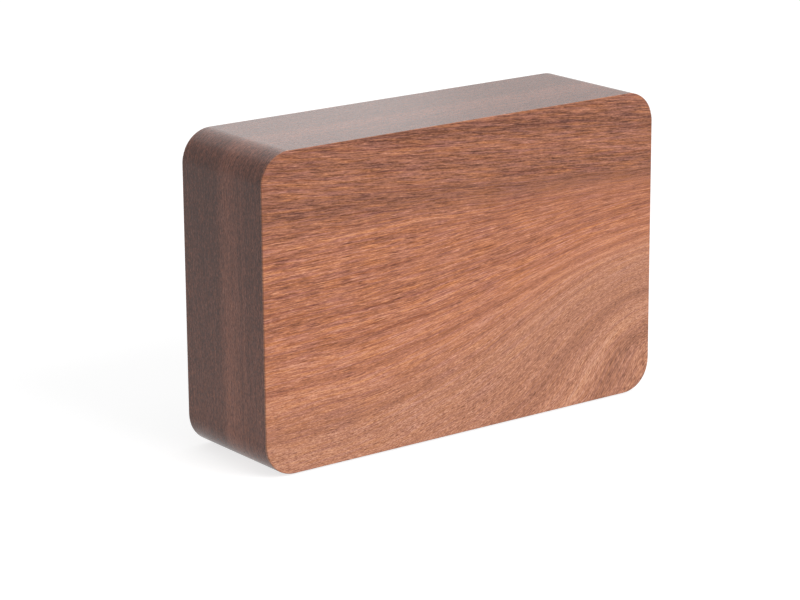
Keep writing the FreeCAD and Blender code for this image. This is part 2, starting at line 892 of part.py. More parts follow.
def biarc(start, leaving, end, arriving):
    """Two arcs that join two points smoothly, with the given directions at the ends."""
    chord = end - start
    both = leaving + arriving
    a = 2 * (leaving.dot(arriving) - 1)
    b = -2 * chord.dot(both)
    reach = (-b - math.sqrt(b * b - 4 * a * chord.dot(chord))) / (2 * a)
    first = start + leaving * reach
    second = end - arriving * reach
    joint = (first + second) / 2
    return [arc_within(start, first, joint), arc_within(joint, second, end)]


def spring_coil():
    """One battery spring about Z, standing on its first turn. Prints the least gap between its turns."""
    radius = (spring_diameter - spring_wire) / 2
    pitch = (spring_length - spring_wire) / spring_turns
    steps = round(spring_turns / spring_step_share)
    edges = []
    for n in range(steps):
        here, leaving = helix_point(radius, pitch, spring_turns * n / steps)
        there, arriving = helix_point(radius, pitch, spring_turns * (n + 1) / steps)
        edges += biarc(here, leaving, there, arriving)
    start, along = helix_point(radius, pitch, 0)
    ring = Part.Wire(Part.makeCircle(spring_wire / 2, start, along))
    coil = Part.Wire(edges).makePipeShell([ring], True, False)
    quarters = range(round(1 / spring_step_share))
    first_turn = [helix_point(radius, pitch, spring_step_share * n)[0] for n in quarters]
    next_turns = [point + V(0, 0, pitch) for point in first_turn]
    gap = min(a.distanceToPoint(b) for a in first_turn for b in next_turns) - spring_wire
    print("spring gap", round(gap, 2), "mm")
    return coil


def battery_springs():
    """A coil at the minus end of each cell, from the contact to the cell."""
    coil = spring_coil()
    springs = []
    for n in range(cell_count):
        side = -plus_side(n)
        wall = side * (bay_half - contact_thickness)
        spring = coil.copy()
        spring.rotate(V(0, 0, 0), ALONG_Y, -quarter_turn * side)
        spring.translate(V(wall - side * spring_wire / 2, cell_axis, cell_height(n)))
        springs.append(spring)
    return springs


def contact_plate(side, first, last, tab):
    """A spring-steel plate at one end of the bay, across the cells from first to last."""
    half = contact_side / 2
    x0, x1 = sorted((side * (bay_half - contact_thickness), side * bay_half))
    low = cell_height(first) - half
    sheet = box(x0, x1, cell_axis - half, cell_axis + half, low, cell_height(last) + half)
    if not tab:
        return sheet
    return join([sheet, contact_tab(side, first, 0)])


def contact_tab(side, n, gap):
    """The solder tab that passes through the bay's end wall, or with a gap, the slot for it."""
    reach = bay_wall + contact_tab_reach
    x0, x1 = sorted((side * bay_half, side * (bay_half + reach)))
    half_y = contact_thickness / 2 + gap
    half_z = contact_tab_width / 2 + gap
    z = cell_height(n)
    return box(x0, x1, cell_axis - half_y, cell_axis + half_y, z - half_z, z + half_z)


def battery_contacts():
    """End tabs at the first and last cells, and a link between each pair of cells."""
    last = cell_count - 1
    plates = [contact_plate(-plus_side(0), 0, 0, True), contact_plate(plus_side(last), last, last, True)]
    for n in range(last):
        plates.append(contact_plate(plus_side(n), n, n + 1, False))
    return plates


def tube(points, diameter):
    """A round lead along straight runs joined by tangent arcs. Prints the arcs' radii."""
    edges = []
    radii = []
    start = points[0]
    for before, corner, after in zip(points, points[1:], points[2:]):
        run_in = corner - before
        run_out = after - corner
        half_turn = run_in.getAngle(run_out) / 2
        cut = lead_arc_share * min(run_in.Length, run_out.Length)
        radii.append(round(cut / math.tan(half_turn), 1))
        begin = corner - V(run_in).normalize() * cut
        finish = corner + V(run_out).normalize() * cut
        edges.append(Part.LineSegment(start, begin).toShape())
        edges.append(arc_within(begin, corner, finish))
        start = finish
    edges.append(Part.LineSegment(start, points[-1]).toShape())
    path = Part.Wire(edges)
    ring = Part.Wire(Part.makeCircle(diameter / 2, points[0], points[1] - points[0]))
    sheath = path.makePipeShell([ring], True, False)
    straight = path.Length * math.pi * diameter * diameter / 4
    share = round(sheath.Volume / straight, 4)
    print("lead", round(path.Length, 1), "mm, radii", radii, "volume share", share)
    return sheath


def lead(side, n, pin_share, route):
    """A lead from the tab on one side of the nth cell, along its route, to a pin of the plug."""
    start = V(side * (bay_half + bay_wall + contact_tab_reach), cell_axis, cell_height(n))
    end_x = socket_x + pin_share * plug_length
    end = V(end_x, main_front - plug_height / 2, main_bottom + plug_lift)
    way = end - start
    points = [start]
    for bow_share, x_share, y_share, z_share in route:
        x = start.x + side * lead_bow * bow_share + way.x * x_share
        points.append(V(x, start.y + way.y * y_share, start.z + way.z * z_share))
    return tube(points + [end], lead_diameter)


def battery_lead_red():
    """From the plus tab at the top right of the bay up to the plug."""
    last = cell_count - 1
    return lead(plus_side(last), last, -plug_pin_share, red_lead_route)


def battery_lead_black():
    """From the minus tab at the bottom left of the bay, up beside the bay and over it to the plug."""
    return lead(-plus_side(0), 0, plug_pin_share, black_lead_route)


def battery_bay():
    """The outside of the tray for the cells, which stands on the inner side of the cover."""
    half = bay_half + bay_wall
    return box(-half, half, bay_floor_top - bay_floor, cover_inner, bay_low - bay_wall, bay_high + bay_wall)


def bay_room():
    """The room for the cells, with low ribs left standing between them."""
    room = box(-bay_half, bay_half, bay_floor_top, cover_outer + overrun, bay_low, bay_high)
    for n in range(1, cell_count):
        z = bay_low + bay_side_gap + n * cell_pitch
        half = bay_rib_width / 2
        end = bay_half - contact_thickness - spring_length
        room = room.cut(box(-end, end, bay_floor_top, bay_floor_top + bay_rib_height, z - half, z + half))
    return room


def door_recess():
    """The shallow step in the cover that the door lies in, with the thumb notch above it."""
    high = cover_outer + overrun
    tall = recess_high - recess_low
    middle = (recess_low + recess_high) / 2
    step = plate(2 * recess_half, tall, door_corner_radius, door_seat, high, 0, middle)
    wide = thumb_tab_width + 2 * thumb_notch_side_gap
    floor = cover_outer - thumb_tab_thickness - thumb_notch_gap
    notch_top = recess_high + thumb_tab_reach + thumb_notch_room
    notch_low = recess_high - door_corner_radius
    tall = notch_top - notch_low
    notch = plate(wide, tall, door_corner_radius, floor, high, 0, (notch_low + notch_top) / 2)
    return join([step, notch])


def hook_slot(x):
    """The slot that a door hook turns in, under a skin of the cover."""
    half = hook_width / 2 + hook_clearance
    swing = math.hypot(door_thickness, hook_reach)
    deep = min(cover_inner, cover_outer - swing - hook_clearance)
    low = recess_low - hook_reach - hook_clearance
    return box(x - half, x + half, deep, cover_outer - hook_skin, low, recess_low + swing)


def back_cover():
    """The rear moulding: plate, battery bay, bosses, and its openings for buttons, socket and sound."""
    body = [case_plate(rabbet_inset + cover_clearance, cover_inner, cover_outer), battery_bay()]
    for x, z in boss_places().values():
        body.append(rod(boss_diameter, main_back, cover_inner, x, z))
    cover = join(body)
    low = cover_inner - overrun
    high = cover_outer + overrun
    cutters = [bay_room(), door_recess(), hook_slot(-hook_offset), hook_slot(hook_offset)]
    pilot = board_screw_diameter + 2 * pilot_clearance
    pilot_end = main_front + board_screw_length + pilot_end_gap
    for x, z in boss_places().values():
        cutters.append(rod(pilot, main_back - overrun, pilot_end, x, z))
    for x, z in cover_screw_places().values():
        cutters.append(rod(cover_screw_diameter + screw_clearance, low, high, x, z))
        wide = cover_screw_head + counterbore_clearance
        cutters.append(rod(wide, cover_outer - cover_screw_counterbore, high, x, z))
    for x in button_places().values():
        wide = button_width + 2 * button_clearance
        tall = button_height + 2 * button_clearance
        cutters.append(plate(wide, tall, tall / 2, low, high, x, button_row))
    cutters.append(rod(socket_nose_diameter + 2 * socket_nose_clearance, low, high, socket_x, button_row))
    cutters.append(rod(mic_hole, low, high, 0, mic_z))
    for n in range(sound_slot_count):
        z = button_row + (n - (sound_slot_count - 1) / 2) * sound_slot_pitch
        radius = sound_slot_width / 2
        cutters.append(plate(sound_slot_length, sound_slot_width, radius, low, high, sounder_x, z))
    for side, n in ((-plus_side(0), 0), (plus_side(cell_count - 1), cell_count - 1)):
        cutters.append(contact_tab(side, n, contact_slot_clearance))
    for cutter in cutters:
        cover = cover.cut(cutter)
    return cover


def cover_screws():
    seat = cover_outer - cover_screw_counterbore
    size = (cover_screw_diameter, cover_screw_length, cover_screw_head, cover_screw_head_height)
    return [screw(x, z, seat, 1, *size) for x, z in cover_screw_places().values()]


def battery_door():
    """The door over the cells. It turns on its bottom edge and has grip ribs under its thumb tab."""
    low = recess_low + door_clearance
    high = recess_high - door_clearance
    width = 2 * (recess_half - door_clearance)
    radius = door_corner_radius - door_clearance
    pieces = [plate(width, high - low, radius, door_inner, cover_outer, 0, (low + high) / 2)]
    half = hook_width / 2
    outer = cover_outer - hook_skin - hook_skin_gap
    for x in (-hook_offset, hook_offset):
        pieces.append(box(x - half, x + half, door_inner, outer, recess_low - hook_reach, low + hook_reach))
    half = thumb_tab_width / 2
    top = recess_high + thumb_tab_reach
    inner = cover_outer - thumb_tab_thickness
    pieces.append(box(-half, half, inner, cover_outer, high - thumb_tab_reach, top))
    for n in range(rib_count):
        z = high - rib_drop - n * rib_pitch
        rib_top = cover_outer + rib_height
        pieces.append(plate(rib_length, rib_width, rib_width / 2, cover_outer - rib_height, rib_top, 0, z))
    return join(pieces)


def solid_list(made):
    """The separate solids of a piece or of a group of pieces."""
    shapes = made if isinstance(made, list) else [made]
    solids = []
    for shape in shapes:
        solids += shape.Solids
    return solids


def parts():
    """Every node of the clock by its name."""
    made = {
        **case_boards(),
        "front_board": front_board(),
        "front_veneer": front_veneer(),
        "side_veneer": side_veneer(),
        "rear_veneer": rear_veneer(),
        "diffuser_plate": diffuser_plate(),
        "digit_mask": digit_mask(),
        "mask_screws": mask_screws(),
        "display_board": display_board(),
        "display_leds": display_leds(),
        "display_board_screws": display_board_screws(),
        "display_driver": chip(driver_inset - nose_width / 2, case_middle, pixel_board_back, 1),
        "display_header": header(pixel_header_z, pixel_board_back, 1),
        "display_ribbon": display_ribbon(),
        "main_board": main_board(),
        "main_board_screws": main_board_screws(),
        "main_header": header(main_header_z, main_front, -1),
        "controller_chip": chip(chip_inset - main_half, main_top - chip_drop, main_front, -1),
        "clock_crystal": clock_crystal(),
        "smoothing_capacitors": smoothing_capacitors(),
        "voltage_regulator": voltage_regulator(),
        "alarm_sounder": alarm_sounder(),
        "microphone": microphone(),
        "microphone_boot": microphone_boot(),
        "power_socket": power_socket(),
        "power_socket_pin": power_socket_pin(),
        "back_cover": back_cover(),
        "cover_screws": cover_screws(),
        "battery_door": battery_door(),
        "battery_springs": battery_springs(),
        "battery_contacts": battery_contacts(),
        "battery_lead_red": battery_lead_red(),
        "battery_lead_black": battery_lead_black(),
        "battery_plug": battery_plug(),
    }
    for name, (x, z) in corners(1, -1, 1).items():
        made["corner_block_" + name] = corner_block(x, z)
    for name, (x, y) in foot_places().items():
        made["foot_" + name] = foot(x, y)
    for name, x in button_places().items():
        made["button_" + name] = button(x)
        made["switch_" + name] = switch_body(x)
        made["plunger_" + name] = switch_plunger(x)
    for n in range(cell_count):
        made["battery_cell_" + str(n + 1)] = battery_cell(n)
    return made


os.makedirs("parts", exist_ok=True)
for node, piece in parts().items():
    solids = solid_list(piece)
    shape = solids[0] if len(solids) == 1 else Part.makeCompound(solids)
    if not shape.isValid():
        print("not valid:", node)
    shape.exportStep("parts/" + node + ".step")
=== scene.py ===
import math

import bmesh
import bpy
from mathutils import Matrix, Vector


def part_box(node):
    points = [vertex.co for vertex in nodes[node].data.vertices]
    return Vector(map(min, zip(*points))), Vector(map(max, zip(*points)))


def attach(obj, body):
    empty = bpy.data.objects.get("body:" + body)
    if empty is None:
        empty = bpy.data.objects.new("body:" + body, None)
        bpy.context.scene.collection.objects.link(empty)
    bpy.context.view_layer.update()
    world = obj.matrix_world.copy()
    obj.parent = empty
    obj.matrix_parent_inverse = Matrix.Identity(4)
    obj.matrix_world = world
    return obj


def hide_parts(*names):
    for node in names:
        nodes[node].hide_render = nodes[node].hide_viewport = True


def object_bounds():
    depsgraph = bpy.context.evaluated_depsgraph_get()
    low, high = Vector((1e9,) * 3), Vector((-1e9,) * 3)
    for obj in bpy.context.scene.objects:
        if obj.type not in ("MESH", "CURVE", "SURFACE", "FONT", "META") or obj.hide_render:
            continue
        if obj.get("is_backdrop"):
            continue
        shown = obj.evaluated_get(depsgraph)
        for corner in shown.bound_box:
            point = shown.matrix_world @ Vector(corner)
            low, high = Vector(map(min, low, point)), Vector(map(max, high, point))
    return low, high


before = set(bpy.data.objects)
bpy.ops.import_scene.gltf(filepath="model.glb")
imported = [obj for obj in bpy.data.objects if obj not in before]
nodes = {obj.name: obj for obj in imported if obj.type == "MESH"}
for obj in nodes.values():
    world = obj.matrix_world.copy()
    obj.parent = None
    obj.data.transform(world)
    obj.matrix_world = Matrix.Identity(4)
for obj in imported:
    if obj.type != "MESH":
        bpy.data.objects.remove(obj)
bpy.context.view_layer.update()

# The camera: a long lens, as in a catalogue picture, that looks down a little on the front and the left
# side of the clock. It is aimed by a compass angle, a height angle and a slight roll.
camera_turn = math.radians(-36.863)
camera_rise = math.radians(15.611)
camera_roll = math.radians(-0.392)
camera_distance = 0.92418
camera_aim_right = -0.0076485
camera_aim_up = -0.0110505
case_centre = Vector((0, 0, 0.04975))

towards = Vector((math.sin(camera_turn) * math.cos(camera_rise),
                  -math.cos(camera_turn) * math.cos(camera_rise), math.sin(camera_rise)))
level_right = (-towards).cross(Vector((0, 0, 1))).normalized()
level_up = level_right.cross(-towards)
camera_right = level_right * math.cos(camera_roll) + level_up * math.sin(camera_roll)
camera_up = level_up * math.cos(camera_roll) - level_right * math.sin(camera_roll)
aim = case_centre + camera_right * camera_aim_right + camera_up * camera_aim_up
lens = bpy.data.cameras.new("catalogue_camera")
lens.sensor_width = 36.0
lens.lens = 133.48
lens.clip_start = 0.01
lens.clip_end = 50.0
camera = bpy.data.objects.new("catalogue_camera", lens)
pose = Matrix((camera_right, camera_up, towards)).transposed().to_4x4()
pose.translation = aim + towards * camera_distance
camera.matrix_world = pose
bpy.context.scene.collection.objects.link(camera)
bpy.context.scene.camera = camera
bpy.context.scene.view_settings.view_transform = "Standard"


# The studio: a white floor that keeps the clock's soft shadow, a white surround that only the camera and
# reflections see at full strength, a large soft lamp at the front right, a weak one overhead, and a broad
# one behind on the right, whose reflection glances off the lacquered top.
def add_node(tree, kind, sockets=None, **settings):
    """A shader node with its settings made and its sockets linked or filled."""
    made = tree.nodes.new("ShaderNode" + kind)
    for key, value in settings.items():
        setattr(made, key, value)
    for name, value in (sockets or {}).items():
        socket = made.inputs[name]
        if isinstance(value, bpy.types.NodeSocket):
            tree.links.new(value, socket)
        else:
            socket.default_value = value
    return made


def sum_of(tree, how, first, second=0.0, third=0.0):
    """The result of a Math node, such as ADD or MULTIPLY, on numbers or sockets."""
    return add_node(tree, "Math", {0: first, 1: second, 2: third}, operation=how).outputs[0]


def remap(tree, value, low, high, start=0.0, end=1.0, **settings):
    """A value brought from one range to another and held at its ends."""
    sockets = {"Value": value, "From Min": low, "From Max": high, "To Min": start, "To Max": end}
    return add_node(tree, "MapRange", sockets, **settings).outputs[0]


def seen_directly(tree):
    """1 for rays from the camera and for mirror and glass rays, 0 for rays that light the clock."""
    path = add_node(tree, "LightPath")
    either = sum_of(tree, "MAXIMUM", path.outputs["Is Camera Ray"], path.outputs["Is Glossy Ray"])
    return sum_of(tree, "MAXIMUM", either, path.outputs["Is Transmission Ray"])


surround_light = 0.40
surround = bpy.data.worlds.new("studio_surround")
bpy.context.scene.world = surround
surround.use_nodes = True
tree = surround.node_tree
strength = remap(tree, seen_directly(tree), 0.0, 1.0, surround_light, 1.0)
tree.nodes["Background"].inputs["Color"].default_value = (1, 1, 1, 1)
tree.links.new(strength, tree.nodes["Background"].inputs["Strength"])

floor_half = 3.0
floor_top = -0.00002
floor_corners = ((-1, -1), (1, -1), (1, 1), (-1, 1))
floor_grey = 0.45
floor_lift = 0.75
floor_mesh = bpy.data.meshes.new("studio_floor")
floor_mesh.from_pydata([(x * floor_half, y * floor_half, floor_top) for x, y in floor_corners], [],
                       [(0, 1, 2, 3)])
floor = bpy.data.objects.new("studio_floor", floor_mesh)
bpy.context.scene.collection.objects.link(floor)
floor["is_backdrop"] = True
floor_paint = bpy.data.materials.new("floor_paint")
floor_paint.use_nodes = True
tree = floor_paint.node_tree
tree.nodes.clear()
matt = add_node(tree, "BsdfDiffuse", {"Color": (floor_grey, floor_grey, floor_grey, 1)})
lift = sum_of(tree, "MULTIPLY", seen_directly(tree), floor_lift)
glow = add_node(tree, "Emission", {"Color": (1, 1, 1, 1), "Strength": lift})
both = add_node(tree, "AddShader", {0: matt.outputs[0], 1: glow.outputs[0]})
add_node(tree, "OutputMaterial", {"Surface": both.outputs[0]})
floor_mesh.materials.append(floor_paint)


def hang_lamp(name, turn, rise, distance, side, power, mirrored=False):
    """A square soft lamp that points at the clock from a compass angle and a height angle, in degrees."""
    lamp = bpy.data.lights.new(name, "AREA")
    lamp.shape = "SQUARE"
    lamp.size = side
    lamp.energy = power
    holder = bpy.data.objects.new(name, lamp)
    a, e = math.radians(turn), math.radians(rise)
    out = Vector((math.sin(a) * math.cos(e), -math.cos(a) * math.cos(e), math.sin(e)))
    holder.location = case_centre + out * distance
    holder.rotation_mode = "QUATERNION"
    holder.rotation_quaternion = out.to_track_quat("Z", "Y")
    holder.visible_camera = False
    holder.visible_glossy = mirrored
    bpy.context.scene.collection.objects.link(holder)


hang_lamp("front_lamp", 20, 28, 2.4, 1.6, 51.5)
hang_lamp("top_lamp", 0, 88, 1.5, 1.2, 2.5)
hang_lamp("rear_lamp", 166, 28, 2.8, 2.5, 9.9, mirrored=True)


# The case: four mitred fibreboards and a front board of the same stuff, glued round a square frame. The
# board is pressed wood fibre: fine, felted, with darker flecks, and fuzzy where it was sawn and sanded.
def noise(tree, where, scale=1.0, detail=2.0, roughness=0.5):
    """A smooth random value about one half, from 3-D noise."""
    sockets = {"Vector": where, "Scale": scale, "Detail": detail, "Roughness": roughness}
    return add_node(tree, "TexNoise", sockets).outputs[0]


def ramp(tree, value, stops):
    """The colour or grey at a value from 0 to 1, between the stops given."""
    made = add_node(tree, "ValToRGB", {0: value})
    scale = made.color_ramp
    while len(scale.elements) < len(stops):
        scale.elements.new(0.5)
    for element, (place, colour) in zip(scale.elements, stops):
        element.position = place
        grey = isinstance(colour, (int, float))
        element.color = (colour, colour, colour, 1) if grey else (*colour, 1)
    return made.outputs[0]


def linear(red, green, blue):
    """A colour as a screen shows it, 0 to 255, turned into the light that it stands for."""
    made = []
    for part in (red, green, blue):
        part /= 255
        made.append(part / 12.92 if part <= 0.04045 else ((part + 0.055) / 1.055) ** 2.4)
    return tuple(made)


def blend(tree, how, share, first, second):
    """Two colours mixed, multiplied or laid over each other by a share from 0 to 1."""
    made = add_node(tree, "Mix", data_type="RGBA", blend_type=how)
    for socket, value in ((made.inputs[0], share), (made.inputs[6], first), (made.inputs[7], second)):
        if isinstance(value, bpy.types.NodeSocket):
            tree.links.new(value, socket)
        elif isinstance(value, tuple):
            socket.default_value = (*value, 1)
        else:
            socket.default_value = value
    return made.outputs[2]


def new_finish(name, roughness=0.5, metallic=0.0, specular=0.5):
    """A material with its even values set on its shader. Gives the material, its nodes and its shader."""
    material = bpy.data.materials.new(name)
    material.use_nodes = True
    tree = material.node_tree
    shader = tree.nodes["Principled BSDF"]
    shader.inputs["Roughness"].default_value = roughness
    shader.inputs["Metallic"].default_value = metallic
    shader.inputs["Specular IOR Level"].default_value = specular
    return material, tree, shader


def millimetres(tree):
    """The piece's own coordinates in millimetres."""
    place = add_node(tree, "TexCoord").outputs["Object"]
    return add_node(tree, "VectorMath", {0: place, 3: 1000.0}, operation="SCALE").outputs[0]


def raise_grain(tree, shader, height, depth):
    """Bumps the surface by a height from 0 to 1 that stands for a depth in metres."""
    bump = add_node(tree, "Bump", {"Height": height, "Distance": depth, "Strength": 1.0})
    tree.links.new(bump.outputs[0], shader.inputs["Normal"])


def dress(material, *names):
    """Gives CAD nodes their material."""
    for name in names:
        mesh = nodes[name].data
        mesh.materials.clear()
        mesh.materials.append(material)


board_finish, tree, shader = new_finish("pressed_fibre", 0.85, specular=0.25)
place = millimetres(tree)
felt = noise(tree, place, 0.9, 6, 0.7)
clumps = noise(tree, place, 0.12, 3, 0.6)
tone = sum_of(tree, "ADD", sum_of(tree, "MULTIPLY", felt, 0.7), sum_of(tree, "MULTIPLY", clumps, 0.3))
fibre_colours = [(0.3, linear(120, 92, 62)), (0.5, linear(168, 136, 98)), (0.7, linear(196, 166, 126))]
colour = ramp(tree, tone, fibre_colours)
tree.links.new(colour, shader.inputs["Base Color"])
raise_grain(tree, shader, felt, 0.00005)
dress(board_finish, "top_board", "bottom_board", "left_board", "right_board", "front_board")


# The walnut: sliced veneer 0.6 mm thick under a satin lacquer. Its look is the tree's growth rings, cut
# lengthwise, with fine fibres and short dark pores along them.
def grain_place(tree, along, across, out, length, width):
    """A place for noise that is drawn out along the grain: a cell is so long and so wide, in mm."""
    x = sum_of(tree, "DIVIDE", along, length)
    y = sum_of(tree, "DIVIDE", across, width)
    return add_node(tree, "CombineXYZ", {0: x, 1: y, 2: out}).outputs[0]


def centred(tree, value, amount):
    """A random value about one half, turned into one about zero and scaled."""
    return sum_of(tree, "MULTIPLY", sum_of(tree, "SUBTRACT", value, 0.5), amount)


lacquer_roughness = 0.25
lacquer_index = 1.34
wood_roughness = 0.40
slice_step = 2.7


def walnut(name, lay, palette, contrast=1.0, tinted=0.8):
    """Lacquered walnut. lay(tree) gives mm along the grain and across it, an offset, the ring tone, the blush
    and how lively the long streaks are."""
    material, tree, shader = new_finish(name, wood_roughness, specular=0.0)
    shader.inputs["Coat Weight"].default_value = 1.0
    shader.inputs["Coat Roughness"].default_value = lacquer_roughness
    shader.inputs["Coat IOR"].default_value = lacquer_index
    along, across, out, tone, blush, life = lay(tree)

    def grain(shift, length, width, detail, uneven=0.5):
        """Noise drawn out along the grain, from a slice of its own."""
        place = grain_place(tree, along, across, sum_of(tree, "ADD", out, shift), length, width)
        return noise(tree, place, detail=detail, roughness=uneven)

    calm = sum_of(tree, "SUBTRACT", 1.0, life)
    partly = sum_of(tree, "MULTIPLY_ADD", life, 0.7, 0.3)
    # Each layer's length, width, detail, amount and where it shows. The third is the fibres.
    streaks = ((46, 1.3, 3, 0.06, life), (19, 0.46, 3, 0.66, life), (4.6, 0.26, 2, 1.65, partly),
               (1.2, 0.25, 1, 0.95, 1.0), (7, 4.0, 2, 0.05, 1.0), (0.6, 0.28, 2, 1.35, calm))
    layers = []
    for n, (length, width, detail, amount, share) in enumerate(streaks):
        layers.append(grain(slice_step * n, length, width, detail, 0.6))
        tone = sum_of(tree, "MULTIPLY_ADD", centred(tree, layers[-1], amount * contrast), share, tone)
    fibres = layers[2]
    colour = ramp(tree, tone, palette)
    colour = blend(tree, "MULTIPLY", blush, colour, (1.0, 1.18, 1.34))
    hues = [(0.34, (0.94, 0.97, 1.26)), (0.5, (1.0, 1.0, 1.0)), (0.66, (1.06, 0.99, 0.72))]
    tint = ramp(tree, grain(51.0, 14, 0.9, 3), hues)
    colour = blend(tree, "MULTIPLY", sum_of(tree, "MULTIPLY", partly, tinted), colour, tint)
    veins = remap(tree, grain(71.0, 55, 0.8, 2), 0.57, 0.66)
    veins = sum_of(tree, "MULTIPLY", sum_of(tree, "MULTIPLY", veins, 0.7 * contrast), life)
    colour = blend(tree, "MULTIPLY", veins, colour, linear(206, 186, 190))
    short, long = grain(31.0, 2.0, 0.30, 1), grain(33.0, 6.0, 0.32, 1)
    pore = add_node(tree, "Mix", {0: life, 2: short, 3: long}).outputs[0]
    pore = sum_of(tree, "ADD", pore, centred(tree, grain(0.0, 30, 3.0, 2), 0.18))
    pores = remap(tree, pore, 0.57, 0.66)
    darkened = sum_of(tree, "MULTIPLY", pores, 0.85 * contrast)
    colour = blend(tree, "MULTIPLY", darkened, colour, linear(176, 160, 158))
    flecks = remap(tree, grain(7.3, 2.8, 0.34, 1), 0.60, 0.72)
    pale = blend(tree, "MULTIPLY", 1.0, colour, (1.35, 1.45, 1.55))
    colour = blend(tree, "MIX", sum_of(tree, "MULTIPLY", flecks, 0.6 * contrast), colour, pale)
    # Painted highlight: a pale orange line where the surface turns between facing front and facing sideways,
    # along the veneer's edges.
    facing = add_node(tree, "SeparateXYZ", {0: add_node(tree, "TexCoord").outputs["Normal"]}).outputs["Y"]
    flat = sum_of(tree, "ABSOLUTE", facing)
    cut, past = remap(tree, flat, 0.25, 0.6), remap(tree, flat, 0.93, 0.99, 1.0, 0.0)
    painted_edge_highlight = sum_of(tree, "MULTIPLY", sum_of(tree, "MULTIPLY", cut, past), 0.4)
    colour = blend(tree, "MIX", painted_edge_highlight, colour, linear(176, 112, 80))
    tree.links.new(colour, shader.inputs["Base Color"])
    rough = remap(tree, fibres, 0.0, 1.0, wood_roughness - 0.06, wood_roughness + 0.08)
    tree.links.new(rough, shader.inputs["Roughness"])
    ridge, pit = sum_of(tree, "MULTIPLY", fibres, 0.5), sum_of(tree, "MULTIPLY", pores, 0.5)
    raise_grain(tree, shader, sum_of(tree, "SUBTRACT", ridge, pit), 0.00003)
    return material


# Front veneer: one sheet, cut near a branch below its right corner, so its rings run level at the left,
# climb to the right, crowd together under the dark top and swirl round the branch at the bottom right.
case_width = 150.0
ring_low, ring_high, toned_high = -60.0, 125.0, 108.0
rise_low, rise_high = -14.0, 44.0
ring_rise = [(-60, 44), (-20, 38.2), (-2, 33.1), (10, 29.7), (23, 27.5), (33, 20.5), (43, 15), (52, 12),
             (62, 5.9), (70, -0.1), (78, -6.6), (87, -14), (105, -13.5), (125, -13)]
ring_tones = [(-60, 0.6), (-40, 0.6), (-30, 0.8), (-20, 0.6), (0, 0.7), (20, 0.7), (40, 0.7), (50, 0.6),
              (70, 0.65), (80, 0.35), (95, 0.4), (108, 0.3)]
blush_of_rings = [(-60, 1.0), (6, 1.0), (25, 0.24), (40, 0.04), (66, 0.08), (80, 0.42), (108, 0.42)]
front_palette = [(0.0, linear(104, 58, 40)), (0.2, linear(130, 78, 55)), (0.33, linear(146, 90, 65)),
                 (0.45, linear(161, 100, 73)), (0.62, linear(175, 110, 80)), (0.75, linear(189, 121, 89)),
                 (0.9, linear(203, 135, 101)), (1.0, linear(214, 149, 114))]


def lay_front(tree):
    """The rings' height at the sheet's left edge, found by a few rounds of rise and fall."""
    x, _, z = add_node(tree, "SeparateXYZ", {0: millimetres(tree)}).outputs
    wobble = noise(tree, grain_place(tree, x, z, 0.0, 30, 9), detail=2)
    z = sum_of(tree, "ADD", z, centred(tree, wobble, 1.6))
    way = sum_of(tree, "DIVIDE", sum_of(tree, "ADD", x, case_width / 2), case_width)
    curve = remap(tree, way, 0.17, 1.08, interpolation_type="SMOOTHSTEP")
    low = sum_of(tree, "ADD", sum_of(tree, "MULTIPLY", way, 0.23), sum_of(tree, "MULTIPLY", curve, 0.77))
    climb = rise_high - rise_low
    stops = [((at - ring_low) / (ring_high - ring_low), (rise - rise_low) / climb) for at, rise in ring_rise]
    rings = z
    for _ in range(6):
        share = remap(tree, rings, ring_low, ring_high)
        rise = sum_of(tree, "ADD", sum_of(tree, "MULTIPLY", ramp(tree, share, stops), climb), rise_low)
        upper = remap(tree, rings, 62.0, 82.0, interpolation_type="SMOOTHSTEP")
        part = add_node(tree, "Mix", {0: upper, 2: low, 3: way}).outputs[0]
        rings = sum_of(tree, "SUBTRACT", z, sum_of(tree, "MULTIPLY", part, rise))
    across = sum_of(tree, "DIVIDE", sum_of(tree, "SUBTRACT", x, 72.0), 37.0)
    up = sum_of(tree, "DIVIDE", sum_of(tree, "SUBTRACT", z, 24.0), 22.0)
    far = sum_of(tree, "ADD", sum_of(tree, "MULTIPLY", across, across), sum_of(tree, "MULTIPLY", up, up))
    branch = sum_of(tree, "EXPONENT", sum_of(tree, "MULTIPLY", far, -1.0))
    rings = sum_of(tree, "SUBTRACT", rings, sum_of(tree, "MULTIPLY", branch, 23.4))
    share = remap(tree, rings, ring_low, toned_high)
    toned = toned_high - ring_low
    tone = ramp(tree, share, [((at - ring_low) / toned, tone) for at, tone in ring_tones])
    years = noise(tree, grain_place(tree, x, rings, 4.0, 300, 5.0), detail=2)
    tone = sum_of(tree, "ADD", tone, centred(tree, years, 0.8))
    blush = ramp(tree, share, [((at - ring_low) / toned, amount) for at, amount in blush_of_rings])
    life = remap(tree, rings, -5.0, 46.0, 0.1)
    return x, rings, 0.0, tone, blush, life


dress(walnut("front_walnut", lay_front, front_palette), "front_veneer")

# Side veneer: one long strip of darker, browner walnut, bent round the case with its grain along it. Its
# ends meet in a fine open seam under the bottom, where it is glued to the boards.
strip_low, strip_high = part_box("side_veneer")
corner_radius = 0.010
sheet = 0.0006
seam_half = 0.0001
corner_steps = 24
half_depth = 21.0
side_tones = [(-21, 0.4), (-12, 0.4), (-10, 0.6), (-9, 0.4), (-7, 0.6), (-1, 0.7), (3, 0.35), (21, 0.35)]
side_palette = [(0.0, linear(80, 45, 34)), (0.25, linear(110, 66, 52)), (0.5, linear(139, 87, 69)),
                (0.75, linear(161, 102, 81)), (1.0, linear(182, 119, 96))]


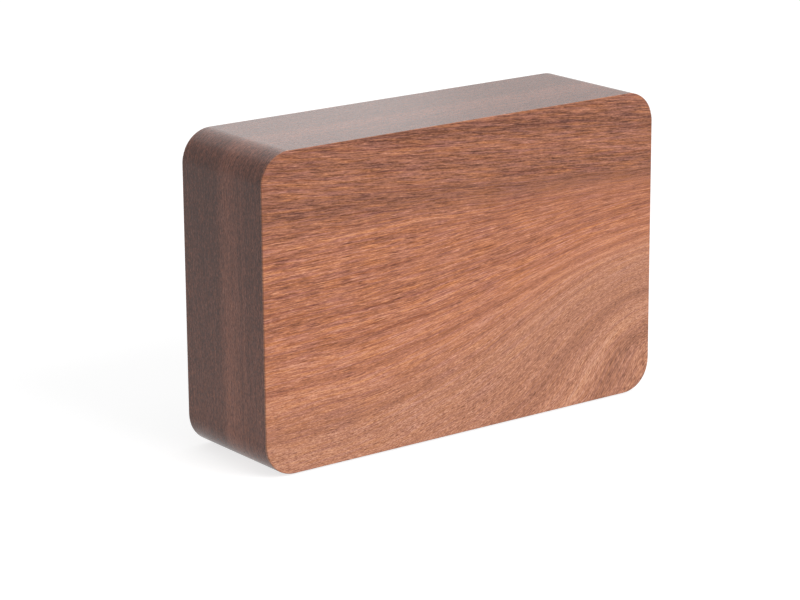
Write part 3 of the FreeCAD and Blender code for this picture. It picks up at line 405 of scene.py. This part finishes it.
def case_outline(inset):
    """Points of the case's outline in X and Z, taken in by the inset, from the seam round to the seam."""
    half = strip_high.x - inset
    low, high = strip_low.z + inset, strip_high.z - inset
    radius = corner_radius - inset
    points = [(seam_half, low)]
    for x, z, start in ((half - radius, low + radius, -90), (half - radius, high - radius, 0),
                        (radius - half, high - radius, 90), (radius - half, low + radius, 180)):
        for step in range(corner_steps + 1):
            a = math.radians(start + 90 * step / corner_steps)
            points.append((x + radius * math.cos(a), z + radius * math.sin(a)))
    return points + [(-seam_half, low)]


def way_along(points):
    """The distance of each point along the outline, in millimetres."""
    ways = [0.0]
    for (x0, z0), (x1, z1) in zip(points, points[1:]):
        ways.append(ways[-1] + 1000 * math.hypot(x1 - x0, z1 - z0))
    return ways


crease = math.radians(35)


def make_piece(name, mesh, material, body, slot, *stands_for):
    """A piece from its mesh: shaded, given its material, and made to ride on its body."""
    piece = bpy.data.objects.new(name, mesh)
    bpy.context.scene.collection.objects.link(piece)
    mesh.materials.append(material)
    mesh.shade_smooth()
    mesh.set_sharp_from_angle(angle=crease)
    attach(piece, body)
    if stands_for:
        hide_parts(*stands_for)


def veneer_strip():
    """The bent strip: outer face, inner face and cut edges. Each point keeps its way along the strip."""
    outer, inner = case_outline(0), case_outline(sheet)
    ways = way_along(outer)
    rows = [(outer, strip_low.y), (outer, strip_high.y), (inner, strip_high.y), (inner, strip_low.y)]
    points = [(x, y, z) for outline, y in rows for x, z in outline]
    count = len(outer)
    faces = []
    for row in range(4):
        a, b = row * count, (row + 1) % 4 * count
        faces += [(a + n, a + n + 1, b + n + 1, b + n) for n in range(count - 1)]
    faces += [(0, count, 2 * count, 3 * count), tuple(row * count + count - 1 for row in (3, 2, 1, 0))]
    mesh = bpy.data.meshes.new("side_veneer_strip")
    mesh.from_pydata(points, [], faces)
    kept = mesh.attributes.new("way_along_strip", "FLOAT", "POINT")
    kept.data.foreach_set("value", ways * 4)
    return mesh


def lay_side(tree):
    """Straight grain along the strip, that wanders a little, its broad bands across the case's depth."""
    along = add_node(tree, "Attribute", attribute_name="way_along_strip").outputs["Fac"]
    _, y, z = add_node(tree, "SeparateXYZ", {0: millimetres(tree)}).outputs
    wobble = noise(tree, grain_place(tree, along, y, 3.0, 60, 16), detail=2)
    y = sum_of(tree, "ADD", y, centred(tree, wobble, 3.0))
    share = remap(tree, y, -half_depth, half_depth)
    tone = ramp(tree, share, [((at + half_depth) / (2 * half_depth), tone) for at, tone in side_tones])
    # Painted light and shade: the tone is paler low down and darker towards the top, the same on both sides.
    # Over the top 11 mm it is drawn towards an even mid tone.
    tone = sum_of(tree, "ADD", tone, remap(tree, z, 0.0, 99.0, 0.07, -0.29))
    upper = remap(tree, z, 86.0, 97.0, 0.0, 0.45)
    return along, y, 11.0, add_node(tree, "Mix", {0: upper, 2: tone, 3: 0.42}).outputs[0], 0.0, 0.35


side_walnut = walnut("side_walnut", lay_side, side_palette, 1.35, tinted=0.35)
make_piece("side_veneer_strip", veneer_strip(), side_walnut, "case", "side_walnut", "side_veneer")


# Rear veneer: a frame of the same sheet glued on the boards' rear edges, with the back cover let in behind
# its inner edge. Its grain runs level all round.
def lay_rear(tree):
    """Straight grain that wanders a little."""
    x, _, z = add_node(tree, "SeparateXYZ", {0: millimetres(tree)}).outputs
    wobble = noise(tree, grain_place(tree, x, z, 5.0, 60, 16), detail=2)
    z = sum_of(tree, "ADD", z, centred(tree, wobble, 6.0))
    tone = noise(tree, grain_place(tree, x, z, 9.0, 400, 9), detail=2)
    return x, z, 21.0, sum_of(tree, "ADD", centred(tree, tone, 0.9), 0.5), 0.3, 0.7


dress(walnut("rear_walnut", lay_rear, side_palette, 1.2), "rear_veneer")


# Corner blocks: planed softwood, glued in behind the mitres. The cover's screws go into their end grain.
block_wood, tree, shader = new_finish("block_wood", 0.7, specular=0.3)
x, y, z = add_node(tree, "SeparateXYZ", {0: millimetres(tree)}).outputs
far = add_node(tree, "VectorMath", {0: add_node(tree, "CombineXYZ", {0: x, 1: 0.0, 2: z}).outputs[0]},
               operation="LENGTH").outputs["Value"]
wander = noise(tree, grain_place(tree, y, x, z, 20, 4), detail=2)
year = sum_of(tree, "ADD", sum_of(tree, "MULTIPLY", far, 2.6), centred(tree, wander, 5.0))
year = sum_of(tree, "SINE", year)
fibre = noise(tree, grain_place(tree, y, x, z, 6, 0.3), detail=3)
tone = sum_of(tree, "ADD", sum_of(tree, "MULTIPLY", year, 0.18), fibre)
softwood_colours = [(0.25, linear(166, 124, 78)), (0.5, linear(207, 170, 120)), (0.8, linear(226, 196, 150))]
colour = ramp(tree, tone, softwood_colours)
tree.links.new(colour, shader.inputs["Base Color"])
raise_grain(tree, shader, tone, 0.00004)
for corner in ("top_left", "top_right", "bottom_left", "bottom_right"):
    dress(block_wood, "corner_block_" + corner)


# Feet: four stick-on discs of black rubber, sunk in round pockets so that they lift the case by half a
# millimetre. Their lower rims are moulded round, and the part that carries the clock is scuffed grey.
foot_profile = [(0, 1.0), (0.0050, 1.0), (0.0050, 0.0004), (0.0049, 0.00016), (0.0047, 0.00004), (0.0044, 0),
                (0.0022, 0), (0.0021, 0.0001), (0, 0.0001)]


def turned(bm, profile, start, way, steps=48):
    """Adds a turned form: its profile gives radius and distance along the axis, from one end to the other."""
    turn = Vector(way).to_track_quat("Z", "Y")
    rings = []
    for radius, along in profile:
        count = steps if radius > 0 else 1
        ring = []
        for n in range(count):
            a = 2 * math.pi * n / steps
            point = Vector((radius * math.cos(a), radius * math.sin(a), along))
            ring.append(bm.verts.new(Vector(start) + turn @ point))
        rings.append(ring)
    for first, second in zip(rings, rings[1:]):
        for n in range(steps):
            m = (n + 1) % steps
            corners = [first[n % len(first)], first[m % len(first)],
                       second[m % len(second)], second[n % len(second)]]
            kept = list(dict.fromkeys(corners))
            if len(kept) > 2:
                bm.faces.new(kept)
    bmesh.ops.recalc_face_normals(bm, faces=bm.faces)


def made_mesh(name, bm):
    """The mesh that a bmesh holds, which is then let go."""
    mesh = bpy.data.meshes.new(name)
    bm.to_mesh(mesh)
    bm.free()
    return mesh


def worn_edge(tree, reach):
    """1 along sharp edges and 0 on flat faces, from how far a rounded edge would turn the surface."""
    rounded = add_node(tree, "Bevel", {"Radius": reach}, samples=6).outputs[0]
    true = add_node(tree, "NewGeometry").outputs["Normal"]
    along = add_node(tree, "VectorMath", {0: rounded, 1: true}, operation="DOT_PRODUCT").outputs["Value"]
    return remap(tree, along, 0.98, 0.80)


def moulded(name, colour, roughness, pitch=0.25, depth=0.000012, spread=0.12, edge=1.35, specular=0.5):
    """Moulded plastic or rubber: a fine spark texture, slight clouding, edges rubbed paler and smoother."""
    material, tree, shader = new_finish(name, roughness, specular=specular)
    place = millimetres(tree)
    spark = noise(tree, place, 1 / pitch, 3, 0.6)
    cloud = noise(tree, place, 0.08, 3, 0.6)
    tone = sum_of(tree, "ADD", centred(tree, spark, spread), centred(tree, cloud, spread))
    tone = sum_of(tree, "ADD", tone, 0.5)
    dark = tuple(part * (1 - spread) for part in colour)
    pale = tuple(min(part * (1 + spread), 1) for part in colour)
    base = ramp(tree, tone, [(0.3, dark), (0.5, colour), (0.7, pale)])
    rubbed = sum_of(tree, "MULTIPLY", worn_edge(tree, 0.0002), 0.6)
    edge_colour = tuple(min(part * edge + 0.01, 1) for part in colour)
    tree.links.new(blend(tree, "MIX", rubbed, base, edge_colour), shader.inputs["Base Color"])
    rough = sum_of(tree, "ADD", centred(tree, spark, 0.2), roughness)
    rough = sum_of(tree, "SUBTRACT", rough, sum_of(tree, "MULTIPLY", rubbed, 0.15))
    tree.links.new(rough, shader.inputs["Roughness"])
    raise_grain(tree, shader, spark, depth)
    return material


foot_rubber = moulded("foot_rubber", linear(38, 38, 39), 0.8, pitch=0.4, depth=0.00002, edge=2.0,
                      specular=0.3)
for place in ("front_left", "front_right", "rear_left", "rear_right"):
    low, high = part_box("foot_" + place)
    bm = bmesh.new()
    profile = [(radius, along if along < 1 else high.z) for radius, along in foot_profile]
    turned(bm, profile, ((low.x + high.x) / 2, (low.y + high.y) / 2, 0), (0, 0, 1))
    name = "rubber_foot_" + place
    make_piece(name, made_mesh(name, bm), foot_rubber, "case", "foot_rubber", "foot_" + place)


# Display: behind the front veneer lie a milky diffuser sheet, a black mask with the digits' bars cut right
# through it, and a white-painted board that carries one lamp to a bar. It is off, so nothing shines through.
def steel(name, colour, roughness, along=None):
    """Bright or blackened metal: fine drawn lines along one axis or none, and faint clouding."""
    material, tree, shader = new_finish(name, roughness, metallic=1.0)
    place = millimetres(tree)
    if along is not None:
        stretch = tuple(0.12 if axis == along else 5.0 for axis in range(3))
        place = add_node(tree, "VectorMath", {0: place, 1: stretch}, operation="MULTIPLY").outputs[0]
    line = noise(tree, place, 1.0 if along is not None else 3.0, 3, 0.6)
    cloud = noise(tree, millimetres(tree), 0.4, 3, 0.6)
    tone = sum_of(tree, "ADD", sum_of(tree, "MULTIPLY", line, 0.5), sum_of(tree, "MULTIPLY", cloud, 0.5))
    dark = tuple(part * 0.78 for part in colour)
    pale = tuple(min(part * 1.12, 1) for part in colour)
    tree.links.new(ramp(tree, tone, [(0.3, dark), (0.7, pale)]), shader.inputs["Base Color"])
    rough = sum_of(tree, "ADD", centred(tree, tone, 0.25), roughness)
    tree.links.new(rough, shader.inputs["Roughness"])
    raise_grain(tree, shader, line, 0.000006)
    return material


track_pitch = 1.9


def laminate(name, paint, line):
    """A printed board: glossy paint over copper tracks that run level or upright in patches."""
    material, tree, shader = new_finish(name, 0.32)
    place = millimetres(tree)
    x, _, z = add_node(tree, "SeparateXYZ", {0: place}).outputs
    flat = add_node(tree, "CombineXYZ", {0: x, 1: z, 2: 0.0}).outputs[0]
    sockets = {"Vector": flat, "Scale": 1 / (track_pitch * 2.5), "Randomness": 0.75}
    sort = add_node(tree, "TexVoronoi", sockets, distance="CHEBYCHEV", feature="F1")
    pick = add_node(tree, "SeparateXYZ", {0: sort.outputs["Color"]}).outputs["X"]
    level = sum_of(tree, "PINGPONG", z, track_pitch / 2)
    upright = sum_of(tree, "PINGPONG", x, track_pitch / 2)
    turned_patch = sum_of(tree, "GREATER_THAN", pick, 0.5)
    chosen = add_node(tree, "Mix", {0: turned_patch, 2: level, 3: upright}).outputs[0]
    track = remap(tree, chosen, 0.16, 0.22, 1.0, 0.0)
    cloud = noise(tree, place, 0.2, 3, 0.6)
    base = ramp(tree, cloud, [(0.35, tuple(part * 0.85 for part in paint)), (0.65, paint)])
    tree.links.new(blend(tree, "MIX", track, base, line), shader.inputs["Base Color"])
    raise_grain(tree, shader, track, 0.00003)
    return material


lead_reach = 1.5


def leaded_chip(name, node):
    """A black moulded body with tinned leads, which start where the node's height passes the body's."""
    low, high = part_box(node)
    material = moulded(name, linear(36, 36, 38), 0.62, pitch=0.2)
    tree = material.node_tree
    shader = tree.nodes["Principled BSDF"]
    z = add_node(tree, "SeparateXYZ", {0: millimetres(tree)}).outputs["Z"]
    off = sum_of(tree, "ABSOLUTE", sum_of(tree, "SUBTRACT", z, (low.z + high.z) * 500))
    lead = sum_of(tree, "GREATER_THAN", off, (high.z - low.z) * 500 - lead_reach + 0.01)
    base = shader.inputs["Base Color"].links[0].from_socket
    tree.links.new(blend(tree, "MIX", lead, base, linear(200, 200, 196)), shader.inputs["Base Color"])
    tree.links.new(lead, shader.inputs["Metallic"])
    dress(material, node)


milky = moulded("milky_diffuser", linear(226, 226, 222), 0.45, pitch=0.6, depth=0.00001, spread=0.05,
                edge=1.0)
dress(milky, "diffuser_plate")
dress(moulded("mask_black", linear(28, 28, 30), 0.6, pitch=0.3), "digit_mask")
dress(laminate("white_board_paint", linear(222, 224, 220), linear(206, 210, 204)), "display_board")
dress(moulded("lamp_body", linear(232, 226, 196), 0.4, pitch=0.5, spread=0.06, edge=1.0), "display_leds")
dress(steel("bright_screw", linear(196, 196, 192), 0.3), "mask_screws", "display_board_screws",
      "main_board_screws")
leaded_chip("driver_body", "display_driver")
connector = moulded("connector_cream", linear(226, 218, 196), 0.45, pitch=0.4, spread=0.06, edge=1.05)
dress(connector, "display_header", "main_header", "battery_plug")


# Ribbon: a grey flat cable of fine wires side by side, the first marked red, that is pushed into the two
# connectors and folds once between the boards.
ribbon_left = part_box("display_ribbon")[0].x * 1000
wire_pitch = 1.27
ribbon_grey, tree, shader = new_finish("ribbon_grey", 0.5)
place = millimetres(tree)
x = add_node(tree, "SeparateXYZ", {0: place}).outputs["X"]
groove = sum_of(tree, "PINGPONG", sum_of(tree, "SUBTRACT", x, ribbon_left), wire_pitch / 2)
groove = remap(tree, groove, 0.0, 0.25)
cloud = noise(tree, place, 0.3, 3)
base = ramp(tree, cloud, [(0.35, linear(142, 144, 146)), (0.65, linear(160, 162, 163))])
base = blend(tree, "MIX", sum_of(tree, "LESS_THAN", x, ribbon_left + wire_pitch), base, linear(168, 48, 40))
# Painted shade: the grey is darkened along the grooves between the wires.
painted_groove_shade = sum_of(tree, "SUBTRACT", 1.0, groove)
tree.links.new(blend(tree, "MULTIPLY", painted_groove_shade, base, linear(150, 150, 150)), shader.inputs["Base Color"])
raise_grain(tree, shader, groove, 0.0002)
dress(ribbon_grey, "display_ribbon")


# Main board: glass-fibre laminate under green paint, screwed on the cover's bosses. It carries the
# controller, a crystal in its steel can, two capacitors, a regulator and the sockets for ribbon and leads.
dress(laminate("green_board_paint", linear(20, 84, 52), linear(34, 112, 70)), "main_board")
leaded_chip("controller_body", "controller_chip")
dress(moulded("regulator_black", linear(36, 36, 38), 0.62, pitch=0.2), "voltage_regulator")
dress(steel("can_metal", linear(206, 206, 208), 0.28), "clock_crystal", "microphone")
dress(steel("capacitor_metal", linear(198, 200, 204), 0.3, along=1), "smoothing_capacitors")


# Sounder, microphone boot and power socket: small bought parts, moulded in black. The sounder sits behind
# the cover's slots, the soft boot seals the microphone to its pinhole, and the socket's pin is nickelled.
dress(moulded("sounder_black", linear(32, 32, 33), 0.5), "alarm_sounder")
dress(moulded("boot_rubber", linear(30, 30, 31), 0.85, specular=0.25), "microphone_boot")
dress(moulded("socket_black", linear(20, 20, 21), 0.3, pitch=0.6, depth=0.000004), "power_socket")
dress(steel("socket_pin_metal", linear(214, 208, 190), 0.22, along=1), "power_socket_pin")


# Back cover: one moulding of black polystyrene with a fine spark texture, let into the rear of the case. Its
# inside carries the battery tray and the board's bosses. The words and marks by the buttons are pad-printed.
cover_black = moulded("cover_black", linear(36, 36, 38), 0.62, pitch=0.28, depth=0.00003, spread=0.18)
print_grey = moulded("print_grey", linear(158, 160, 162), 0.5, pitch=0.3, depth=0.000004, spread=0.08,
                     edge=1.0)
dress(cover_black, "back_cover")
cover_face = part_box("battery_door")[0].y + 0.0016
ink_proud = 0.00004
ink_sunk = 0.00004
letter_height = 0.0019


def printed_word(name, word, x, z):
    """A word printed on the cover, to be read from behind, its middle at x and z."""
    font = bpy.data.curves.new(name, "FONT")
    font.body = word
    font.size = letter_height * 1.38
    font.align_x = "CENTER"
    font.align_y = "CENTER"
    font.space_character = 1.12
    font.extrude = (ink_proud + ink_sunk) / 2
    font.resolution_u = 4
    holder = bpy.data.objects.new(name, font)
    mesh = bpy.data.meshes.new_from_object(holder)
    bpy.data.objects.remove(holder)
    turn = Matrix(((-1, 0, 0), (0, 0, 1), (0, 1, 0))).to_4x4()
    turn.translation = (x, cover_face + (ink_proud - ink_sunk) / 2, z)
    mesh.transform(turn)
    mesh.name = name
    make_piece(name, mesh, print_grey, "case", "cover_plastic")


def printed_mark(name, outline, x, z, body="case", slot="cover_plastic"):
    """A mark printed on the cover or the door: its outline is in millimetres, as seen from behind."""
    bm = bmesh.new()
    face = cover_face + ink_proud
    top = bm.faces.new([bm.verts.new((x - across / 1000, face, z + up / 1000)) for across, up in outline])
    grown = bmesh.ops.extrude_face_region(bm, geom=[top])
    under = [part for part in grown["geom"] if isinstance(part, bmesh.types.BMVert)]
    bmesh.ops.translate(bm, verts=under, vec=(0, -ink_proud - ink_sunk, 0))
    bmesh.ops.recalc_face_normals(bm, faces=bm.faces)
    make_piece(name, made_mesh(name, bm), print_grey, body, slot)


def middle_of(node):
    """The middle of a CAD node's box."""
    low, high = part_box(node)
    return (low + high) / 2


button_row = middle_of("button_mode").z
word_row = button_row - 0.0048
power_row = button_row - 0.0058
for name in ("mode", "set"):
    printed_word("word_" + name, name.upper(), middle_of("button_" + name).x, word_row)
triangle = [(-1.1, -0.8), (1.1, -0.8), (0, 1.0)]
printed_mark("mark_up", triangle, middle_of("button_up").x, word_row)
printed_mark("mark_down", [(-across, -up) for across, up in triangle], middle_of("button_down").x, word_row)
printed_word("word_power", "DC", middle_of("power_socket").x, power_row)


# Buttons: four oval caps of black ABS in clearance holes, each on a flange behind the cover and a stem on
# its push switch. The tops are polished by fingers. The switches are black with a round plunger.
button_black = moulded("button_black", linear(27, 27, 28), 0.38, pitch=0.5, depth=0.000006, spread=0.1)
switch_black = moulded("switch_black", linear(34, 34, 35), 0.5)
for name in ("mode", "set", "up", "down"):
    dress(button_black, "button_" + name)
    dress(switch_black, "switch_" + name, "plunger_" + name)


# Cells: three AAA cells side by side, turn and turn about. Each is a steel can in a shrunk plastic sleeve,
# rolled in at both ends, with its plus nub pressed out of the can.
sleeve_lip = 0.00465
bare_radius = 0.00455
sleeve, tree, shader = new_finish("cell_sleeve", 0.32)
shader.inputs["Coat Weight"].default_value = 0.5
shader.inputs["Coat Roughness"].default_value = 0.12
share = add_node(tree, "Attribute", attribute_name="way_along_cell").outputs["Fac"]
radial = add_node(tree, "Attribute", attribute_name="way_from_axis").outputs["Fac"]
scuff = noise(tree, millimetres(tree), 1.2, 4, 0.7)
sleeve_bands = [(0.0, linear(30, 66, 52)), (0.70, linear(32, 72, 56)), (0.705, linear(196, 150, 88)),
                (0.90, linear(204, 160, 96)), (0.905, linear(24, 24, 26)), (1.0, linear(26, 26, 28))]
band = ramp(tree, share, sleeve_bands)
scuffed = ramp(tree, scuff, [(0.3, (0.6, 0.6, 0.6)), (0.6, (1.0, 1.0, 1.0))])
band = blend(tree, "MULTIPLY", 0.3, band, scuffed)
bare = sum_of(tree, "LESS_THAN", radial, 4.55)
metal = ramp(tree, scuff, [(0.3, linear(168, 166, 160)), (0.7, linear(206, 204, 198))])
tree.links.new(blend(tree, "MIX", bare, band, metal), shader.inputs["Base Color"])
tree.links.new(bare, shader.inputs["Metallic"])
raise_grain(tree, shader, scuff, 0.000008)
for n in (1, 2, 3):
    name = "battery_cell_" + str(n)
    low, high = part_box(name)
    plus = 1 if n % 2 else -1
    middle = (low + high) / 2
    radius = (high.z - low.z) / 2
    length = high.x - low.x
    profile = [(0, 0.0002), (0.0030, 0.0002), (0.0033, 0), (0.0043, 0), (bare_radius, 0.0003),
               (sleeve_lip, 0.0001),
               (radius - 0.0003, 0.00005), (radius, 0.0005), (radius, length - 0.0013),
               (radius - 0.0003, length - 0.00085), (sleeve_lip, length - 0.0008),
               (bare_radius, length - 0.0011),
               (0.0026, length - 0.0011), (0.0021, length - 0.0008), (0.0019, length - 0.0001),
               (0.0017, length), (0, length)]
    bm = bmesh.new()
    turned(bm, profile, (middle.x - plus * length / 2, middle.y, middle.z), (plus, 0, 0))
    mesh = made_mesh("sleeved_cell_" + str(n), bm)
    ways = [plus * (vert.co.x - middle.x) / length + 0.5 for vert in mesh.vertices]
    outs = [1000 * math.hypot(vert.co.y - middle.y, vert.co.z - middle.z) for vert in mesh.vertices]
    mesh.attributes.new("way_along_cell", "FLOAT", "POINT").data.foreach_set("value", ways)
    mesh.attributes.new("way_from_axis", "FLOAT", "POINT").data.foreach_set("value", outs)
    make_piece("sleeved_cell_" + str(n), mesh, sleeve, "case", "cell_sleeve", name)


# Cell contacts and leads: spring wire coiled at each minus end, nickelled plates in slots at the tray's
# ends, and two sheathed leads, red and black, soldered to their tabs and led up to the plug on the board.
dress(steel("spring_wire", linear(206, 202, 190), 0.25), "battery_springs")
dress(steel("contact_plate", linear(204, 200, 188), 0.3, along=1), "battery_contacts")
dress(moulded("red_sheath", linear(176, 32, 28), 0.45, spread=0.06), "battery_lead_red")
dress(moulded("black_sheath", linear(26, 26, 26), 0.45, spread=0.06), "battery_lead_black")


# Battery door: black, of the cover's plastic and texture. It hooks in under the cover's skin at its lower
# edge and snaps shut with a thumb tab, and five low ribs under the tab give a grip.
door_black = moulded("door_black", linear(36, 36, 38), 0.62, pitch=0.28, depth=0.00003, spread=0.18)
dress(door_black, "battery_door")
door_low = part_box("battery_door")[0]
door_triangle = [(-1.6, -1.0), (1.6, -1.0), (0, 1.4)]
printed_mark("mark_door", door_triangle, 0, door_low.z + 0.0165, "battery_door", "door_plastic")


# Cover screws: four blackened steel screws for wood, with a domed pan head and a cross recess, driven into
# the corner blocks through the cover's counterbores.
black_screw = steel("black_screw", linear(58, 58, 60), 0.38)
screw_low, screw_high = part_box("cover_screws")
head_radius = 0.0027
head_height = 0.0017
thread_pitch = 0.0011
thread_start = 0.0016
thread_root, thread_crest = 0.00100, 0.00140
neck_radius = 0.00135
dome_steps = 6
recess_top = (0.00155, 0.00036, 0.0003)
recess_bottom = (0.00060, 0.00022, -0.00105)


def screw_profile():
    """From the tip through the thread's crests to the domed head. The way along runs out of the case."""
    length = screw_high.y - screw_low.y - head_height
    profile = [(0, 0), (0.0006, 0.0012)]
    turns = int((length - 0.0022) / thread_pitch)
    for n in range(turns):
        start = thread_start + n * thread_pitch
        profile += [(thread_root, start), (thread_crest, start + thread_pitch * 0.42),
                    (thread_root, start + thread_pitch * 0.84)]
    profile += [(0.00105, length - 0.0004), (neck_radius, length), (head_radius, length)]
    for step in range(dome_steps + 1):
        a = math.radians(90 * step / dome_steps)
        profile.append((head_radius * (0.62 + 0.38 * math.cos(a)),
                        length + head_height * (0.45 + 0.55 * math.sin(a))))
    return profile + [(0, length + head_height)]


def cross_cutter(x, z, top):
    """The cross recess as a solid: two tapered bars that meet in a point below the head's top."""
    bm = bmesh.new()
    for turn in (0, 90):
        rows = []
        for long_half, short_half, above in (recess_top, recess_bottom):
            corners = [(long_half, short_half), (-long_half, short_half),
                       (-long_half, -short_half), (long_half, -short_half)]
            if turn:
                corners = [(b, -a) for a, b in corners]
            rows.append([bm.verts.new((x + a, top + above, z + b)) for a, b in corners])
        outer, inner = rows
        bm.faces.new(outer)
        bm.faces.new(inner[::-1])
        for n in range(4):
            bm.faces.new((outer[n], inner[n], inner[(n + 1) % 4], outer[(n + 1) % 4]))
    bmesh.ops.recalc_face_normals(bm, faces=bm.faces)
    return made_mesh("cross_cutter", bm)


def cut_away(body, tools):
    """The body's mesh with the tools' meshes cut out of it."""
    holder = bpy.data.objects.new("blank", body)
    bpy.context.scene.collection.objects.link(holder)
    for tool in tools:
        cutter = bpy.data.objects.new("cutter", tool)
        bpy.context.scene.collection.objects.link(cutter)
        made = holder.modifiers.new("cut", "BOOLEAN")
        made.operation = "DIFFERENCE"
        made.solver = "EXACT"
        made.use_self = True
        made.object = cutter
    shape = bpy.data.meshes.new_from_object(holder.evaluated_get(bpy.context.evaluated_depsgraph_get()))
    for made in list(holder.modifiers):
        bpy.data.objects.remove(made.object)
    bpy.data.objects.remove(holder)
    return shape


bm = bmesh.new()
cutters = []
for x in (screw_low.x + head_radius, screw_high.x - head_radius):
    for z in (screw_low.z + head_radius, screw_high.z - head_radius):
        turned(bm, screw_profile(), (x, screw_low.y, z), (0, 1, 0), 32)
        cutters.append(cross_cutter(x, z, screw_high.y))
screws = cut_away(made_mesh("cover_screw_blanks", bm), cutters)
screws.name = "pan_head_screws"
make_piece("pan_head_screws", screws, black_screw, "case", "black_screw", "cover_screws")

low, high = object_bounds()
